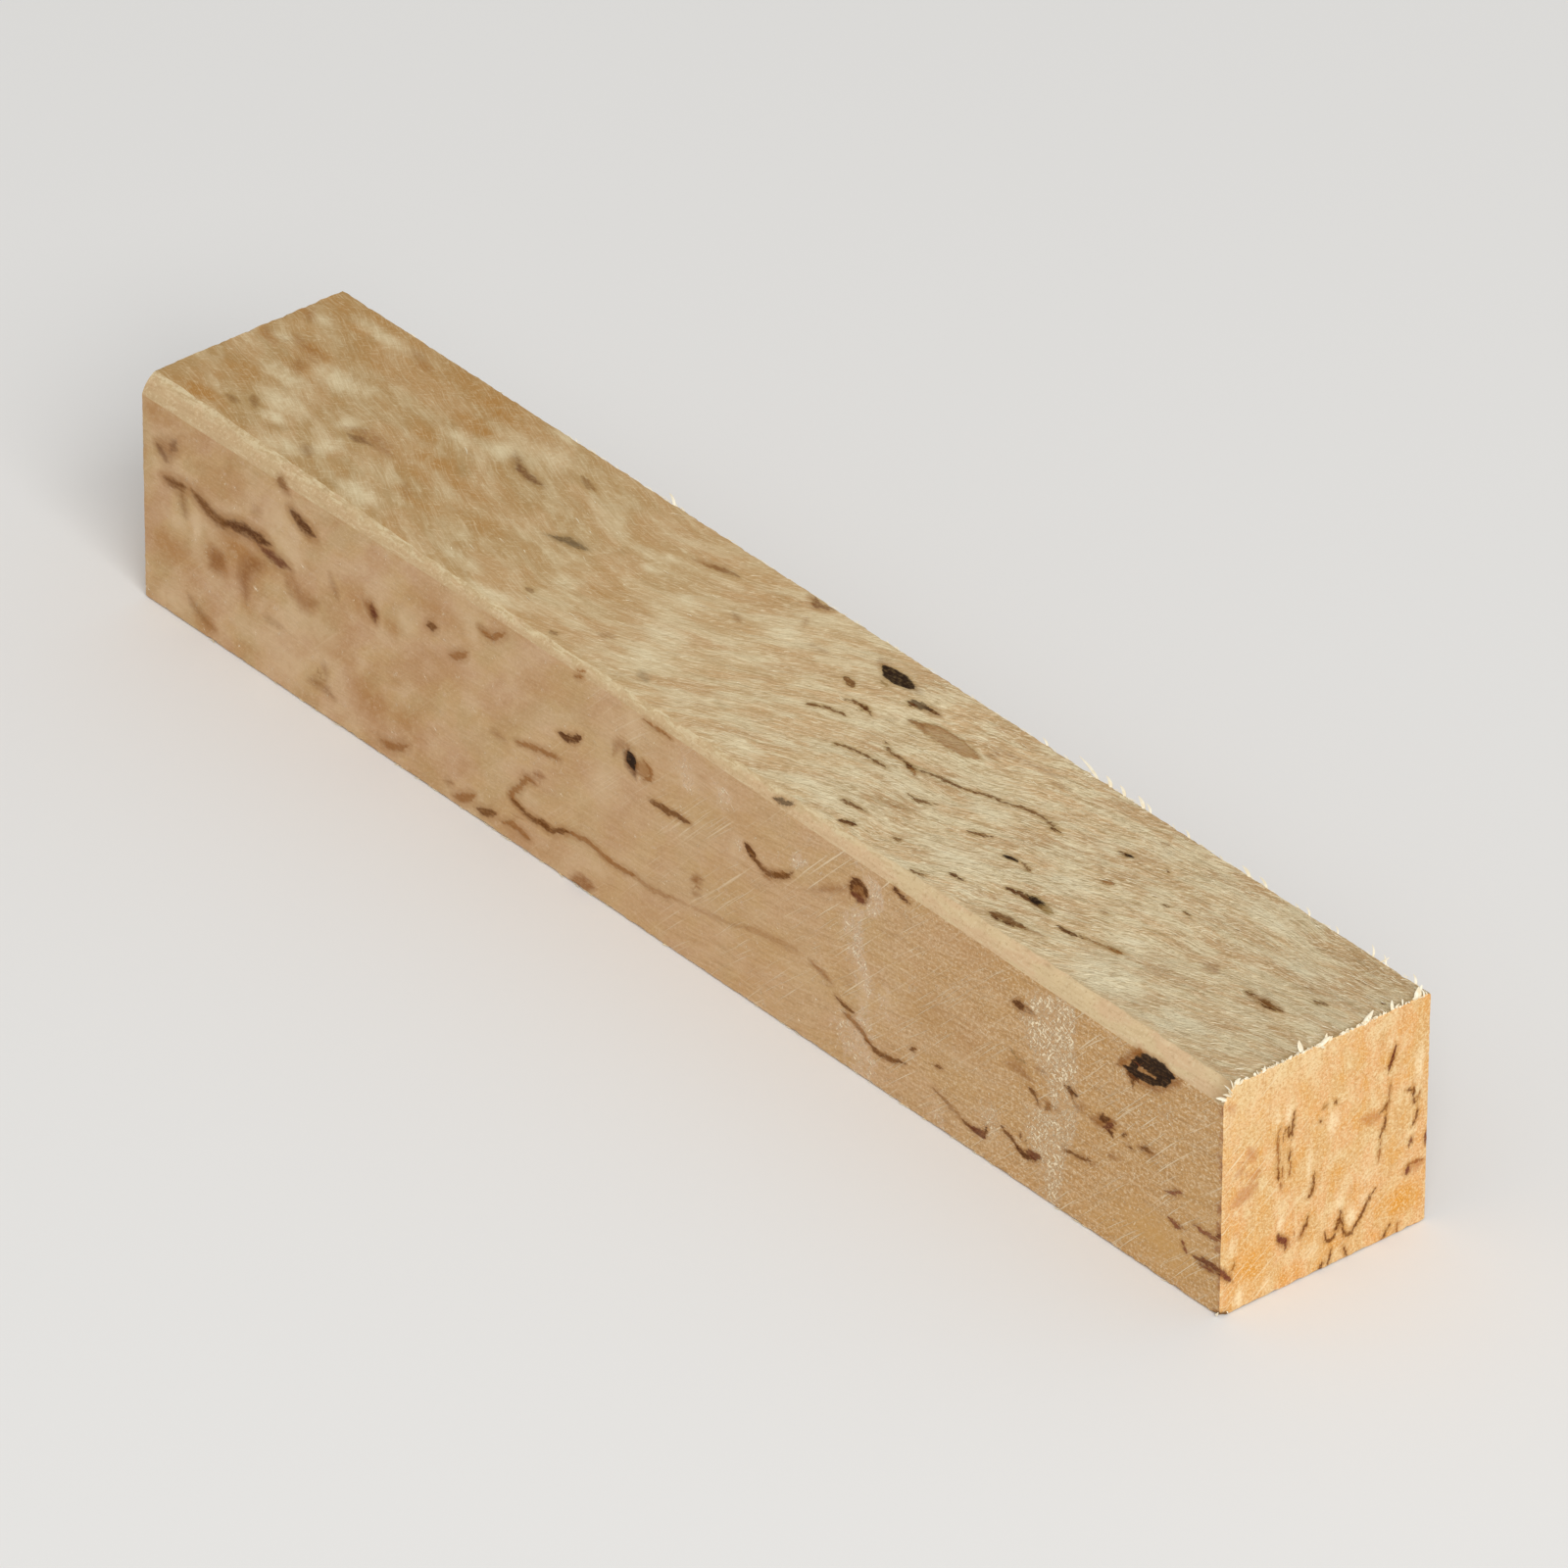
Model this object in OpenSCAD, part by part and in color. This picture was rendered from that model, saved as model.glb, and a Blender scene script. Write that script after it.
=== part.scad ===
// Square-sawn turning blank of figured birch, lying on its bottom face.
// Its length runs along X. The left face looks to -Y and the near end to +X.
// The origin is the middle of the bottom face.

/* [Stick] */
// Length, from one sawn end to the other
blank_l = 130; // [110:1:200]
// Width, from the left face to the right face
blank_w = 20.4; // [16:0.1:40]
// Height, from the bottom face to the top face
blank_h = 20.5; // [16:0.1:40]
// Flat rubbed off each of the three long edges that the saw left crisp
arris = 0.2; // [0.1:0.05:0.5]

/* [Worn edge] */
// How far the wear comes down the left face at the near end
near_down = 1.5; // [1:0.1:3]
// How far the wear runs in over the top face at the near end
near_in = 1.1; // [0.8:0.1:3]
// How far the wear comes down the left face at its narrow waist
waist_down = 0.8; // [0.4:0.1:1.5]
// How far the wear runs in over the top face at its narrow waist
waist_in = 0.6; // [0.4:0.1:1.5]
// How far the wear comes down the left face at the far end
far_down = 1.6; // [1:0.1:3]
// How far the wear runs in over the top face at the far end
far_in = 1.4; // [0.8:0.1:3]
// Distance of the waist from the far end
waist_at = 48; // [20:1:90]
// Roundness of the wear, where 0 is a flat bevel and 1 a quarter round
fullness = 0.5; // [0:0.05:1]

/* [Broken corner] */
// How far the break at the near end's lower left corner runs along the length
break_along = 0.6; // [0.3:0.1:2]
// How far the break runs across the end
break_across = 0.8; // [0.3:0.1:2]
// How far the break runs up the end
break_up = 0.7; // [0.3:0.1:2]

/* [Hidden] */

// Wood colour
wood_tone = [0.76, 0.61, 0.43];
// How far a cutter stands clear of the faces that it opens
clear = 1;
// Number of sections along the worn edge, and of steps round each
wear_sections = 26;
wear_steps = 6;
// How far the broken corner's cutter overruns the break, as a share of it
overrun = 0.5;

// From 0 at the waist to 1 at either end, with no kink between
function wear_share(x) =
    let (from_far = x + blank_l / 2)
    let (run = from_far < waist_at ? waist_at : blank_l - waist_at)
    let (s = min(1, abs(from_far - waist_at) / run))
    s * s * (3 - 2 * s);

// Reach of the wear at x, between its value at the waist and at that end
function wear_reach(x, waist, far, near) =
    let (at_end = x + blank_l / 2 < waist_at ? far : near)
    waist + (at_end - waist) * wear_share(x);

// One point of the worn curve: on the bevel's chord, pushed out to the round
function wear_point(x, down, in, turn) =
    let (t = turn / 90)
    let (chord = [in * t, -down * (1 - t)])
    let (round = [in * (1 - cos(turn)), -down * (1 - sin(turn))])
    let (at = chord + (round - chord) * fullness)
    [x, -blank_w / 2 + at[0], blank_h + at[1]];

// One section of the wear's cutter: the worn curve, then round the outside
function wear_ring(x) =
    let (down = wear_reach(x, waist_down, far_down, near_down))
    let (in = wear_reach(x, waist_in, far_in, near_in))
    concat(
        [for (i = [0 : wear_steps]) wear_point(x, down, in, 90 * i / wear_steps)],
        [
            [x, -blank_w / 2 + in, blank_h + clear],
            [x, -blank_w / 2 - clear, blank_h + clear],
            [x, -blank_w / 2 - clear, blank_h - down]
        ]
    );

// The stick as it leaves the saw, with three of its long edges rubbed
module sawn_stick() {
    section = [
        [-blank_w / 2 + arris, 0],
        [blank_w / 2 - arris, 0],
        [blank_w / 2, arris],
        [blank_w / 2, blank_h - arris],
        [blank_w / 2 - arris, blank_h],
        [-blank_w / 2, blank_h],
        [-blank_w / 2, arris]
    ];
    translate([-blank_l / 2, 0, 0])
        rotate([90, 0, 90])
            linear_extrude(height = blank_l)
                polygon(section);
}

// Cutter for the upper left edge, lofted through its sections
module worn_edge() {
    stretch = blank_l + 2 * clear;
    rings = [
        for (i = [0 : wear_sections])
            wear_ring(-stretch / 2 + stretch * i / wear_sections)
    ];
    sides = len(rings[0]);
    last = wear_sections * sides;
    skin = [
        for (i = [0 : wear_sections - 1], k = [0 : sides - 1])
            let (a = i * sides + k)
            let (b = i * sides + (k + 1) % sides)
            each [[a, b + sides, b], [a, a + sides, b + sides]]
    ];
    caps = [
        [for (k = [0 : sides - 1]) k],
        [for (k = [sides - 1 : -1 : 0]) last + k]
    ];
    polyhedron(points = [for (ring = rings) each ring], faces = concat(skin, caps), convexity = 4);
}

// Cutter for the broken corner: one slanting plane across the three edges
module broken_corner() {
    long = 1 + 2 * overrun;
    corners = [
        [long, -overrun, -overrun],
        [-overrun, long, -overrun],
        [-overrun, -overrun, long],
        [-1, -1, -1]
    ];
    translate([blank_l / 2, -blank_w / 2, 0])
        polyhedron(
            points = [
                for (c = corners)
                    [-c[0] * break_along, c[1] * break_across, c[2] * break_up]
            ],
            faces = [[0, 1, 2], [0, 3, 1], [1, 3, 2], [2, 3, 0]]
        );
}

module blank() {
    color(wood_tone)
        difference() {
            sawn_stick();
            worn_edge();
            broken_corner();
        }
}

blank();
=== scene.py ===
import math
import random

import bpy
import numpy as np
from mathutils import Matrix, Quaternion, Vector, noise


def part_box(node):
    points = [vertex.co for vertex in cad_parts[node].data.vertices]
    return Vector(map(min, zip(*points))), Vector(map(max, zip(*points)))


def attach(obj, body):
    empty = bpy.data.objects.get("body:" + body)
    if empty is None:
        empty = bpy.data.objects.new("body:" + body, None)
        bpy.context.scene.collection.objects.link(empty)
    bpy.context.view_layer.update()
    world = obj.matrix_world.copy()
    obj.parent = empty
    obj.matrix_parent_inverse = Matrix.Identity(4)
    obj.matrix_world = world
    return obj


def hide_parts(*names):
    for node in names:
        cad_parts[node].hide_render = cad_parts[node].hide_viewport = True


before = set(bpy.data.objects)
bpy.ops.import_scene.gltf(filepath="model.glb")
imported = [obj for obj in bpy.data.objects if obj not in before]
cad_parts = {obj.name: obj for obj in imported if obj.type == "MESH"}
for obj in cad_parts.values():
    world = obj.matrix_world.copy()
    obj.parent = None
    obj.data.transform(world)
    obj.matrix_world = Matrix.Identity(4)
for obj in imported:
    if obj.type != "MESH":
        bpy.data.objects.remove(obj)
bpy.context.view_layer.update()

mm = 0.001
boxLow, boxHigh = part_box("blank")
stickLength = (boxHigh[0] - boxLow[0]) / mm
stickWidth = (boxHigh[1] - boxLow[1]) / mm
stickHeight = (boxHigh[2] - boxLow[2]) / mm

# camera and room

cameraPlan = {
    "place": (0.866, -0.7231, 0.7449),
    "aim": (0.0004, 0.0013, 0.01025),
    "roll": 0.26,          # degrees, clockwise seen from behind the camera
    "lens": 402.3,         # long lens on a 36 mm sensor, square frame
}

roomPlan = {
    "floorTone": (0.80, 0.79, 0.77),
    "floorReach": 6.0,     # metres
    "skyLevel": 0.56,
    "backdropLevel": 0.9,
    "keyDirection": (0.72, -0.36, 0.66),
    "keyDistance": 1.6,
    "keySize": 0.9,
    "keyPower": 17.0,
}


def makeCamera(plan):
    data = bpy.data.cameras.new("camera")
    data.sensor_width = 36.0
    data.lens = plan["lens"]
    data.clip_start = 0.01
    data.clip_end = 50.0
    camera = bpy.data.objects.new("camera", data)
    bpy.context.collection.objects.link(camera)
    place = Vector(plan["place"])
    look = Vector(plan["aim"]) - place
    camera.location = place
    camera.rotation_mode = "QUATERNION"
    turn = Quaternion((0, 0, 1), math.radians(plan["roll"]))
    camera.rotation_quaternion = look.to_track_quat("-Z", "Y") @ turn
    bpy.context.scene.camera = camera


# node helpers

def put(tree, kind, **settings):
    made = tree.nodes.new(kind)
    for name, value in settings.items():
        setattr(made, name, value)
    return made


def plug(tree, socket, value):
    if isinstance(value, bpy.types.NodeSocket):
        tree.links.new(value, socket)
    elif value is not None:
        socket.default_value = value


def calc(tree, operation, a, b=None, c=None, clamp=False):
    made = put(tree, "ShaderNodeMath", operation=operation, use_clamp=clamp)
    for socket, value in zip(made.inputs, (a, b, c)):
        plug(tree, socket, value)
    return made.outputs[0]


def blend(tree, amount, a, b, mode="MIX"):
    made = put(tree, "ShaderNodeMix", data_type="RGBA", blend_type=mode)
    plug(tree, made.inputs[0], amount)
    for socket, value in ((made.inputs[6], a), (made.inputs[7], b)):
        plug(tree, socket, (*value, 1.0) if isinstance(value, tuple) else value)
    return made.outputs[2]


def ease(tree, value, low, high, start=0.0, end=1.0):
    made = put(tree, "ShaderNodeMapRange", interpolation_type="SMOOTHSTEP")
    for socket, given in zip(made.inputs, (value, low, high, start, end)):
        plug(tree, socket, given)
    return made.outputs[0]


def clouds(tree, vector, scale, detail=2.0, rough=0.5, twist=0.0):
    made = put(tree, "ShaderNodeTexNoise", noise_dimensions="3D")
    plug(tree, made.inputs["Vector"], vector)
    made.inputs["Scale"].default_value = scale
    made.inputs["Detail"].default_value = detail
    made.inputs["Roughness"].default_value = rough
    made.inputs["Distortion"].default_value = twist
    return made.outputs["Fac"]


def stretched(tree, vector, along, across, angle=0.0, shift=0.0):
    # turns the pattern in the face, then squeezes it, so noise on it runs as fibres
    turned = put(tree, "ShaderNodeMapping", vector_type="POINT")
    plug(tree, turned.inputs["Vector"], vector)
    turned.inputs["Rotation"].default_value = (0, 0, math.radians(angle))
    squeezed = put(tree, "ShaderNodeMapping", vector_type="POINT")
    plug(tree, squeezed.inputs["Vector"], turned.outputs[0])
    squeezed.inputs["Scale"].default_value = (1 / along, 1 / across, 1.0)
    squeezed.inputs["Location"].default_value = (shift, shift, shift)
    return squeezed.outputs[0]


def attribute(tree, name):
    return put(tree, "ShaderNodeAttribute", attribute_type="GEOMETRY", attribute_name=name)


def makeRoom(plan):
    scene = bpy.context.scene
    scene.view_settings.view_transform = "Standard"
    world = bpy.data.worlds.new("studio")
    world.use_nodes = True
    tree = world.node_tree
    tree.nodes.clear()
    rays = put(tree, "ShaderNodeLightPath")
    seen = calc(tree, "ADD", rays.outputs["Is Camera Ray"], rays.outputs["Is Glossy Ray"])
    seen = calc(tree, "ADD", seen, rays.outputs["Is Transmission Ray"], clamp=True)
    sky = put(tree, "ShaderNodeBackground")
    sky.inputs["Strength"].default_value = plan["skyLevel"]
    sky.inputs["Color"].default_value = (1, 1, 1, 1)
    backdrop = put(tree, "ShaderNodeBackground")
    backdrop.inputs["Strength"].default_value = plan["backdropLevel"]
    backdrop.inputs["Color"].default_value = (*plan["floorTone"], 1)
    mixed = put(tree, "ShaderNodeMixShader")
    plug(tree, mixed.inputs[0], seen)
    plug(tree, mixed.inputs[1], sky.outputs[0])
    plug(tree, mixed.inputs[2], backdrop.outputs[0])
    output = put(tree, "ShaderNodeOutputWorld")
    plug(tree, output.inputs["Surface"], mixed.outputs[0])
    scene.world = world

    reach = plan["floorReach"]
    floorMesh = bpy.data.meshes.new("floor")
    corners = [(-reach, -reach, 0), (reach, -reach, 0), (reach, reach, 0), (-reach, reach, 0)]
    floorMesh.from_pydata(corners, [], [(0, 1, 2, 3)])
    floor = bpy.data.objects.new("floor", floorMesh)
    floor.location.z = -0.02 * mm
    bpy.context.collection.objects.link(floor)
    finish = bpy.data.materials.new("paleFloor")
    finish.use_nodes = True
    shader = finish.node_tree.nodes["Principled BSDF"]
    shader.inputs["Base Color"].default_value = (*plan["floorTone"], 1)
    shader.inputs["Roughness"].default_value = 0.95
    shader.inputs["Specular IOR Level"].default_value = 0.1
    floorMesh.materials.append(finish)

    lamp = bpy.data.lights.new("key", "AREA")
    lamp.shape = "SQUARE"
    lamp.size = plan["keySize"]
    lamp.energy = plan["keyPower"]
    key = bpy.data.objects.new("key", lamp)
    away = Vector(plan["keyDirection"]).normalized()
    key.location = away * plan["keyDistance"]
    key.rotation_euler = (-away).to_track_quat("-Z", "Y").to_euler()
    bpy.context.collection.objects.link(key)


makeCamera(cameraPlan)
makeRoom(roomPlan)
print("camera, floor and lamps are up")

# the brown figure: each mark is its ink, half its width and the points it runs through, in mm on its face

inks = {                   # depth of colour, then hue from olive at 0 over rust and umber to black at 1
    "black": (1.0, 1.0),
    "dark": (0.97, 0.6),
    "umber": (0.87, 0.46),
    "rust": (0.72, 0.26),
    "plum": (0.86, 0.72),
    "brick": (0.8, 0.8),
    "olive": (0.62, 0.02),
    "slate": (0.82, 0.9),
    "ash": (0.55, 0.9),
    "faint": (0.42, 0.2),
    "ghost": (0.24, 0.16),
    "dim": (0.52, 0.42),
    "dimPlum": (0.55, 0.66),
    "tan": (0.5, 0.2),
    "softRust": (0.6, 0.14),
    "softUmber": (0.5, 0.36),
    "softPlum": (0.5, 0.66),
    "softDeepRust": (0.85, 0.15),
    "softDeepUmber": (0.75, 0.36),
    "softDeepPlum": (0.8, 0.62),
    "softOlive": (0.38, 0.02),
    "softSlate": (0.4, 0.88),
}

# left face: u from the far end, v down from the top
leftMarks = [
    # painted shade: a dark mark in the hollow of the broken lower corner
    ("slate", 0.16, [(129.3, 20.3), (129.8, 20.2)]),
    ("softRust", 1.05, [(2.8, 5.3), (3.8, 5.1)]),
    ("dimPlum", 0.36, [(2.4, 5.6), (3.2, 6.2)]),
    ("dimPlum", 0.38, [(4.0, 4.9), (4.4, 4.2)]),
    ("umber", 0.36, [(3.2, 8.1), (4.4, 8.0), (5.6, 7.7)]),
    ("umber", 0.46, [(6.8, 7.7), (8.2, 8.3), (9.6, 8.7), (11.4, 8.6)]),
    ("softDeepUmber", 0.5, [(5.2, 8.4), (5.5, 10.0)]),
    ("dark", 0.46, [(11.0, 8.5), (13.0, 8.0), (16.1, 7.8)]),
    ("plum", 0.42, [(15.2, 8.6), (16.6, 8.8), (18.6, 8.8)]),
    ("softDeepRust", 0.8, [(15.2, 10.2), (13.8, 11.0), (13.1, 12.4), (13.2, 13.8)]),
    ("softDeepRust", 1.15, [(9.4, 12.8), (9.8, 12.3)]),
    ("softUmber", 0.5, [(17.6, 1.1), (18.6, 1.7)]),
    ("dim", 0.34, [(17.6, 1.2), (18.4, 1.6)]),
    ("dark", 0.5, [(19.3, 3.4), (20.6, 4.0), (21.7, 4.2)]),
    ("dimPlum", 0.5, [(29.2, 7.4), (29.4, 8.1)]),
    ("plum", 0.3, [(29.2, 7.6), (29.4, 8.0)]),
    ("softDeepRust", 0.5, [(28.4, 7.3), (29.4, 7.8)]),
    ("softUmber", 0.4, [(18.6, 10.3), (19.0, 11.1)]),
    ("softRust", 0.8, [(19.6, 10.2), (20.5, 11.2), (22.0, 10.4)]),
    ("softDeepPlum", 0.4, [(20.3, 11.3), (20.6, 11.6)]),
    ("softUmber", 0.35, [(15.8, 14.9), (17.6, 14.8)]),
    ("softUmber", 0.35, [(14.4, 5.7), (15.1, 5.3)]),
    ("softUmber", 0.35, [(24.0, 7.0), (24.8, 8.4)]),
    ("softUmber", 0.35, [(23.1, 15.6), (23.3, 16.8)]),
    ("softDeepUmber", 0.4, [(6.2, 17.9), (7.4, 18.7), (8.9, 19.1)]),
    ("softDeepUmber", 0.44, [(21.4, 18.0), (22.8, 17.7), (24.0, 18.1)]),
    ("rust", 0.32, [(30.2, 19.2), (31.6, 19.0), (32.6, 18.5), (33.4, 18.0)]),
    ("umber", 0.38, [(36.3, 5.5), (36.9, 5.3)]),
    ("rust", 0.3, [(38.9, 6.9), (39.9, 6.5), (40.8, 5.8)]),
    ("rust", 0.21, [(42.5, 2.6), (43.6, 2.9), (44.6, 2.4), (45.6, 1.6)]),
    ("softUmber", 0.35, [(42.6, 2.6), (43.8, 2.7)]),
    ("rust", 0.2, [(54.2, 1.3), (55.0, 0.9)]),
    ("black", 0.62, [(60.8, 5.4), (61.0, 5.8)]),
    ("softDeepPlum", 0.85, [(60.6, 5.3), (61.1, 6.3)]),
    ("softRust", 0.5, [(58.9, 5.8), (59.5, 4.8), (60.8, 4.4)]),
    ("tan", 0.66, [(61.9, 5.8), (62.7, 5.6)]),
    ("rust", 0.16, [(62.5, 4.9), (63.3, 5.4), (63.1, 6.2), (62.2, 6.7)]),
    ("dark", 0.3, [(52.2, 7.5), (53.4, 7.4), (54.2, 7.0), (54.8, 6.5)]),
    ("umber", 0.28, [(63.2, 8.1), (64.6, 8.1), (66.2, 7.9), (68.0, 7.8)]),
    ("softRust", 0.32, [(44.0, 11.4), (45.4, 11.4)]),
    ("rust", 0.22, [(46.9, 10.9), (49.4, 10.3), (52.2, 9.8)]),
    ("softDeepRust", 0.3, [(49.2, 12.7), (50.2, 12.5)]),
    ("softRust", 0.3, [(48.0, 13.2), (49.2, 13.6)]),
    ("rust", 0.24, [(49.0, 13.6), (48.2, 13.7), (47.2, 15.0), (46.2, 16.2), (47.6, 16.9)]),
    ("umber", 0.22, [(46.2, 16.4), (48.0, 16.9), (50.2, 17.0), (51.2, 17.0), (52.4, 16.3), (53.4, 16.0)]),
    ("rust", 0.22, [(52.6, 16.2), (54.0, 15.9), (56.0, 15.7), (58.0, 16.1), (60.0, 16.1), (61.5, 15.9)]),
    ("umber", 0.28, [(49.6, 16.8), (51.0, 16.9)]),
    ("faint", 0.2, [(61.0, 16.0), (63.5, 16.1), (66.0, 15.7)]),
    ("ghost", 0.16, [(65.0, 15.8), (70.0, 15.0), (75.0, 13.9)]),
    ("ghost", 0.24, [(74.6, 13.9), (77.5, 13.3), (80.8, 12.9)]),
    ("softDeepUmber", 0.26, [(38.2, 18.9), (38.9, 18.7)]),
    ("rust", 0.36, [(39.4, 19.7), (40.6, 19.3), (41.6, 18.5)]),
    ("umber", 0.34, [(42.2, 19.5), (43.2, 19.3), (44.2, 18.9)]),
    ("rust", 0.28, [(45.4, 19.1), (46.6, 18.8), (48.4, 19.1)]),
    ("softDeepRust", 0.85, [(53.8, 20.5), (55.0, 19.9), (55.8, 19.7)]),
    ("rust", 0.12, [(62.4, 1.1), (64.0, 1.1), (65.8, 1.2)]),
    ("softDeepRust", 0.42, [(68.4, 12.7), (69.2, 12.3)]),
    ("softUmber", 0.3, [(68.3, 14.0), (69.3, 13.8)]),
    ("softDeepRust", 0.3, [(82.4, 13.1), (83.6, 13.3), (84.9, 13.8)]),
    ("umber", 0.16, [(85.4, 14.7), (86.4, 15.0), (87.5, 15.1)]),
    ("rust", 0.24, [(86.3, 15.7), (88.0, 16.0), (89.4, 16.9)]),
    ("umber", 0.23, [(89.0, 16.8), (90.3, 17.2), (91.6, 17.1), (93.4, 16.6)]),
    ("dark", 0.27, [(87.3, 4.3), (87.1, 3.8), (87.6, 3.1), (88.3, 3.0), (88.8, 3.5), (88.8, 4.1)]),
    ("plum", 0.4, [(87.5, 4.4), (88.4, 4.3)]),
    ("dim", 0.5, [(87.8, 3.7), (88.2, 3.8)]),
    ("softDeepRust", 0.95, [(87.6, 3.8), (88.4, 3.8)]),
    ("softRust", 0.3, [(86.4, 4.4), (84.6, 5.3), (82.6, 6.4)]),
    ("dark", 0.16, [(92.1, 1.6), (92.9, 1.7), (93.9, 1.8)]),
    ("dark", 0.24, [(92.2, 1.4), (92.4, 1.6)]),
    ("dark", 0.38, [(74.8, 6.4), (75.7, 7.0)]),
    ("umber", 0.23, [(75.0, 6.6), (76.3, 7.4), (77.6, 7.5), (79.0, 7.0), (80.2, 6.1)]),
    ("rust", 0.2, [(78.0, 7.4), (79.6, 6.5)]),
    ("faint", 0.14, [(76.7, 8.0), (77.7, 8.1)]),
    ("umber", 0.13, [(94.2, 15.0), (94.8, 14.6)]),
    ("umber", 0.12, [(96.9, 15.0), (97.8, 14.8)]),
    ("dim", 0.17, [(97.0, 17.1), (98.6, 17.6), (100.2, 18.1)]),
    ("umber", 0.17, [(100.0, 18.1), (101.6, 18.4)]),
    ("plum", 0.36, [(101.4, 18.3), (102.3, 18.4), (102.9, 18.1)]),
    ("dark", 0.15, [(102.9, 18.2), (103.1, 17.5)]),
    ("umber", 0.17, [(104.9, 16.5), (106.0, 16.9), (106.9, 17.5)]),
    ("dark", 0.26, [(106.7, 17.4), (107.6, 17.6), (108.6, 17.5)]),
    ("plum", 0.36, [(108.0, 17.2), (109.0, 17.0)]),
    ("dark", 0.36, [(106.3, 4.5), (107.0, 4.4)]),
    ("dim", 0.16, [(107.2, 4.4), (108.4, 4.4)]),
    ("softUmber", 0.5, [(106.0, 4.6), (107.6, 4.3)]),
    ("umber", 0.12, [(107.0, 16.3), (107.0, 16.0)]),
    ("olive", 0.11, [(105.8, 9.0), (106.6, 9.3), (107.4, 9.3)]),
    ("faint", 0.12, [(108.6, 9.2), (109.7, 9.0)]),
    ("dark", 0.17, [(112.2, 9.0), (113.3, 9.1)]),
    ("umber", 0.14, [(112.7, 9.2), (112.9, 9.7)]),
    ("softRust", 0.4, [(113.4, 10.2), (114.3, 9.6)]),
    ("softRust", 0.5, [(105.4, 10.4), (106.6, 10.2), (108.0, 10.5)]),
    ("umber", 0.14, [(107.8, 11.3), (108.6, 11.6), (109.0, 12.2)]),
    ("faint", 0.1, [(108.6, 11.5), (110.0, 11.6), (111.4, 11.6)]),
    ("rust", 0.2, [(109.9, 12.2), (110.3, 11.7)]),
    ("rust", 0.14, [(115.1, 10.3), (116.0, 10.2), (116.9, 9.6), (118.2, 9.2)]),
    ("dark", 0.36, [(116.2, 9.8), (116.8, 9.5)]),
    ("plum", 0.26, [(116.6, 10.3), (117.5, 9.6)]),
    ("softRust", 0.7, [(115.6, 10.2), (117.2, 9.8)]),
    ("dark", 0.15, [(117.0, 10.2), (117.4, 10.6)]),
    ("umber", 0.16, [(118.7, 9.9), (119.0, 9.7)]),
    ("umber", 0.11, [(119.3, 10.6), (119.7, 10.6)]),
    ("umber", 0.2, [(120.9, 9.9), (121.3, 9.9), (122.0, 9.8)]),
    ("softRust", 0.4, [(120.6, 10.0), (122.4, 9.8)]),
    ("faint", 0.16, [(117.1, 12.6), (118.5, 12.2)]),
    ("umber", 0.12, [(111.9, 14.8), (113.2, 14.6), (115.6, 14.2)]),
    ("brick", 0.15, [(123.6, 12.4), (124.5, 12.1), (125.4, 11.6)]),
    ("brick", 0.2, [(124.0, 14.6), (124.8, 14.8), (125.6, 14.7)]),
    ("brick", 0.17, [(126.9, 13.7), (128.4, 13.8), (129.8, 13.6)]),
    ("plum", 0.26, [(129.5, 13.4), (130.2, 13.1)]),
    ("brick", 0.15, [(125.6, 15.9), (126.0, 16.6)]),
    ("plum", 0.2, [(127.0, 16.5), (128.6, 16.3), (130.2, 16.4)]),
    ("brick", 0.16, [(127.8, 16.9), (129.0, 16.8)]),
    ("plum", 0.24, [(130.0, 16.0), (130.2, 17.0)]),
    ("softPlum", 0.45, [(127.4, 16.8), (130.2, 16.4)]),
    ("black", 0.76, [(120.2, 2.5), (120.9, 2.15), (121.8, 2.1), (122.8, 2.0), (123.8, 1.9)]),
    ("black", 0.5, [(123.7, 2.1), (123.2, 2.7), (122.6, 3.0)]),
    ("black", 0.38, [(118.8, 3.75), (119.7, 3.7), (121.0, 3.6), (122.7, 3.3)]),
    ("black", 0.36, [(119.5, 3.5), (120.1, 2.7)]),
    ("dark", 0.4, [(119.4, 4.1), (120.1, 4.1)]),
    ("softUmber", 0.5, [(120.4, 3.1), (122.0, 2.9)]),
    ("rust", 0.3, [(119.9, 1.9), (120.6, 1.5)]),
    ("rust", 0.34, [(118.2, 3.8), (118.8, 3.3)]),
    ("umber", 0.14, [(119.7, 4.3), (119.7, 5.0)]),
    ("softDeepRust", 0.34, [(119.2, 4.4), (120.8, 4.2), (122.6, 3.8), (123.4, 3.4)]),
    ("softDeepRust", 0.36, [(118.7, 3.3), (119.6, 2.2), (120.5, 1.6)]),
    ("softDeepRust", 0.44, [(123.6, 2.9), (124.4, 2.3), (125.0, 1.8)]),
]

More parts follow.
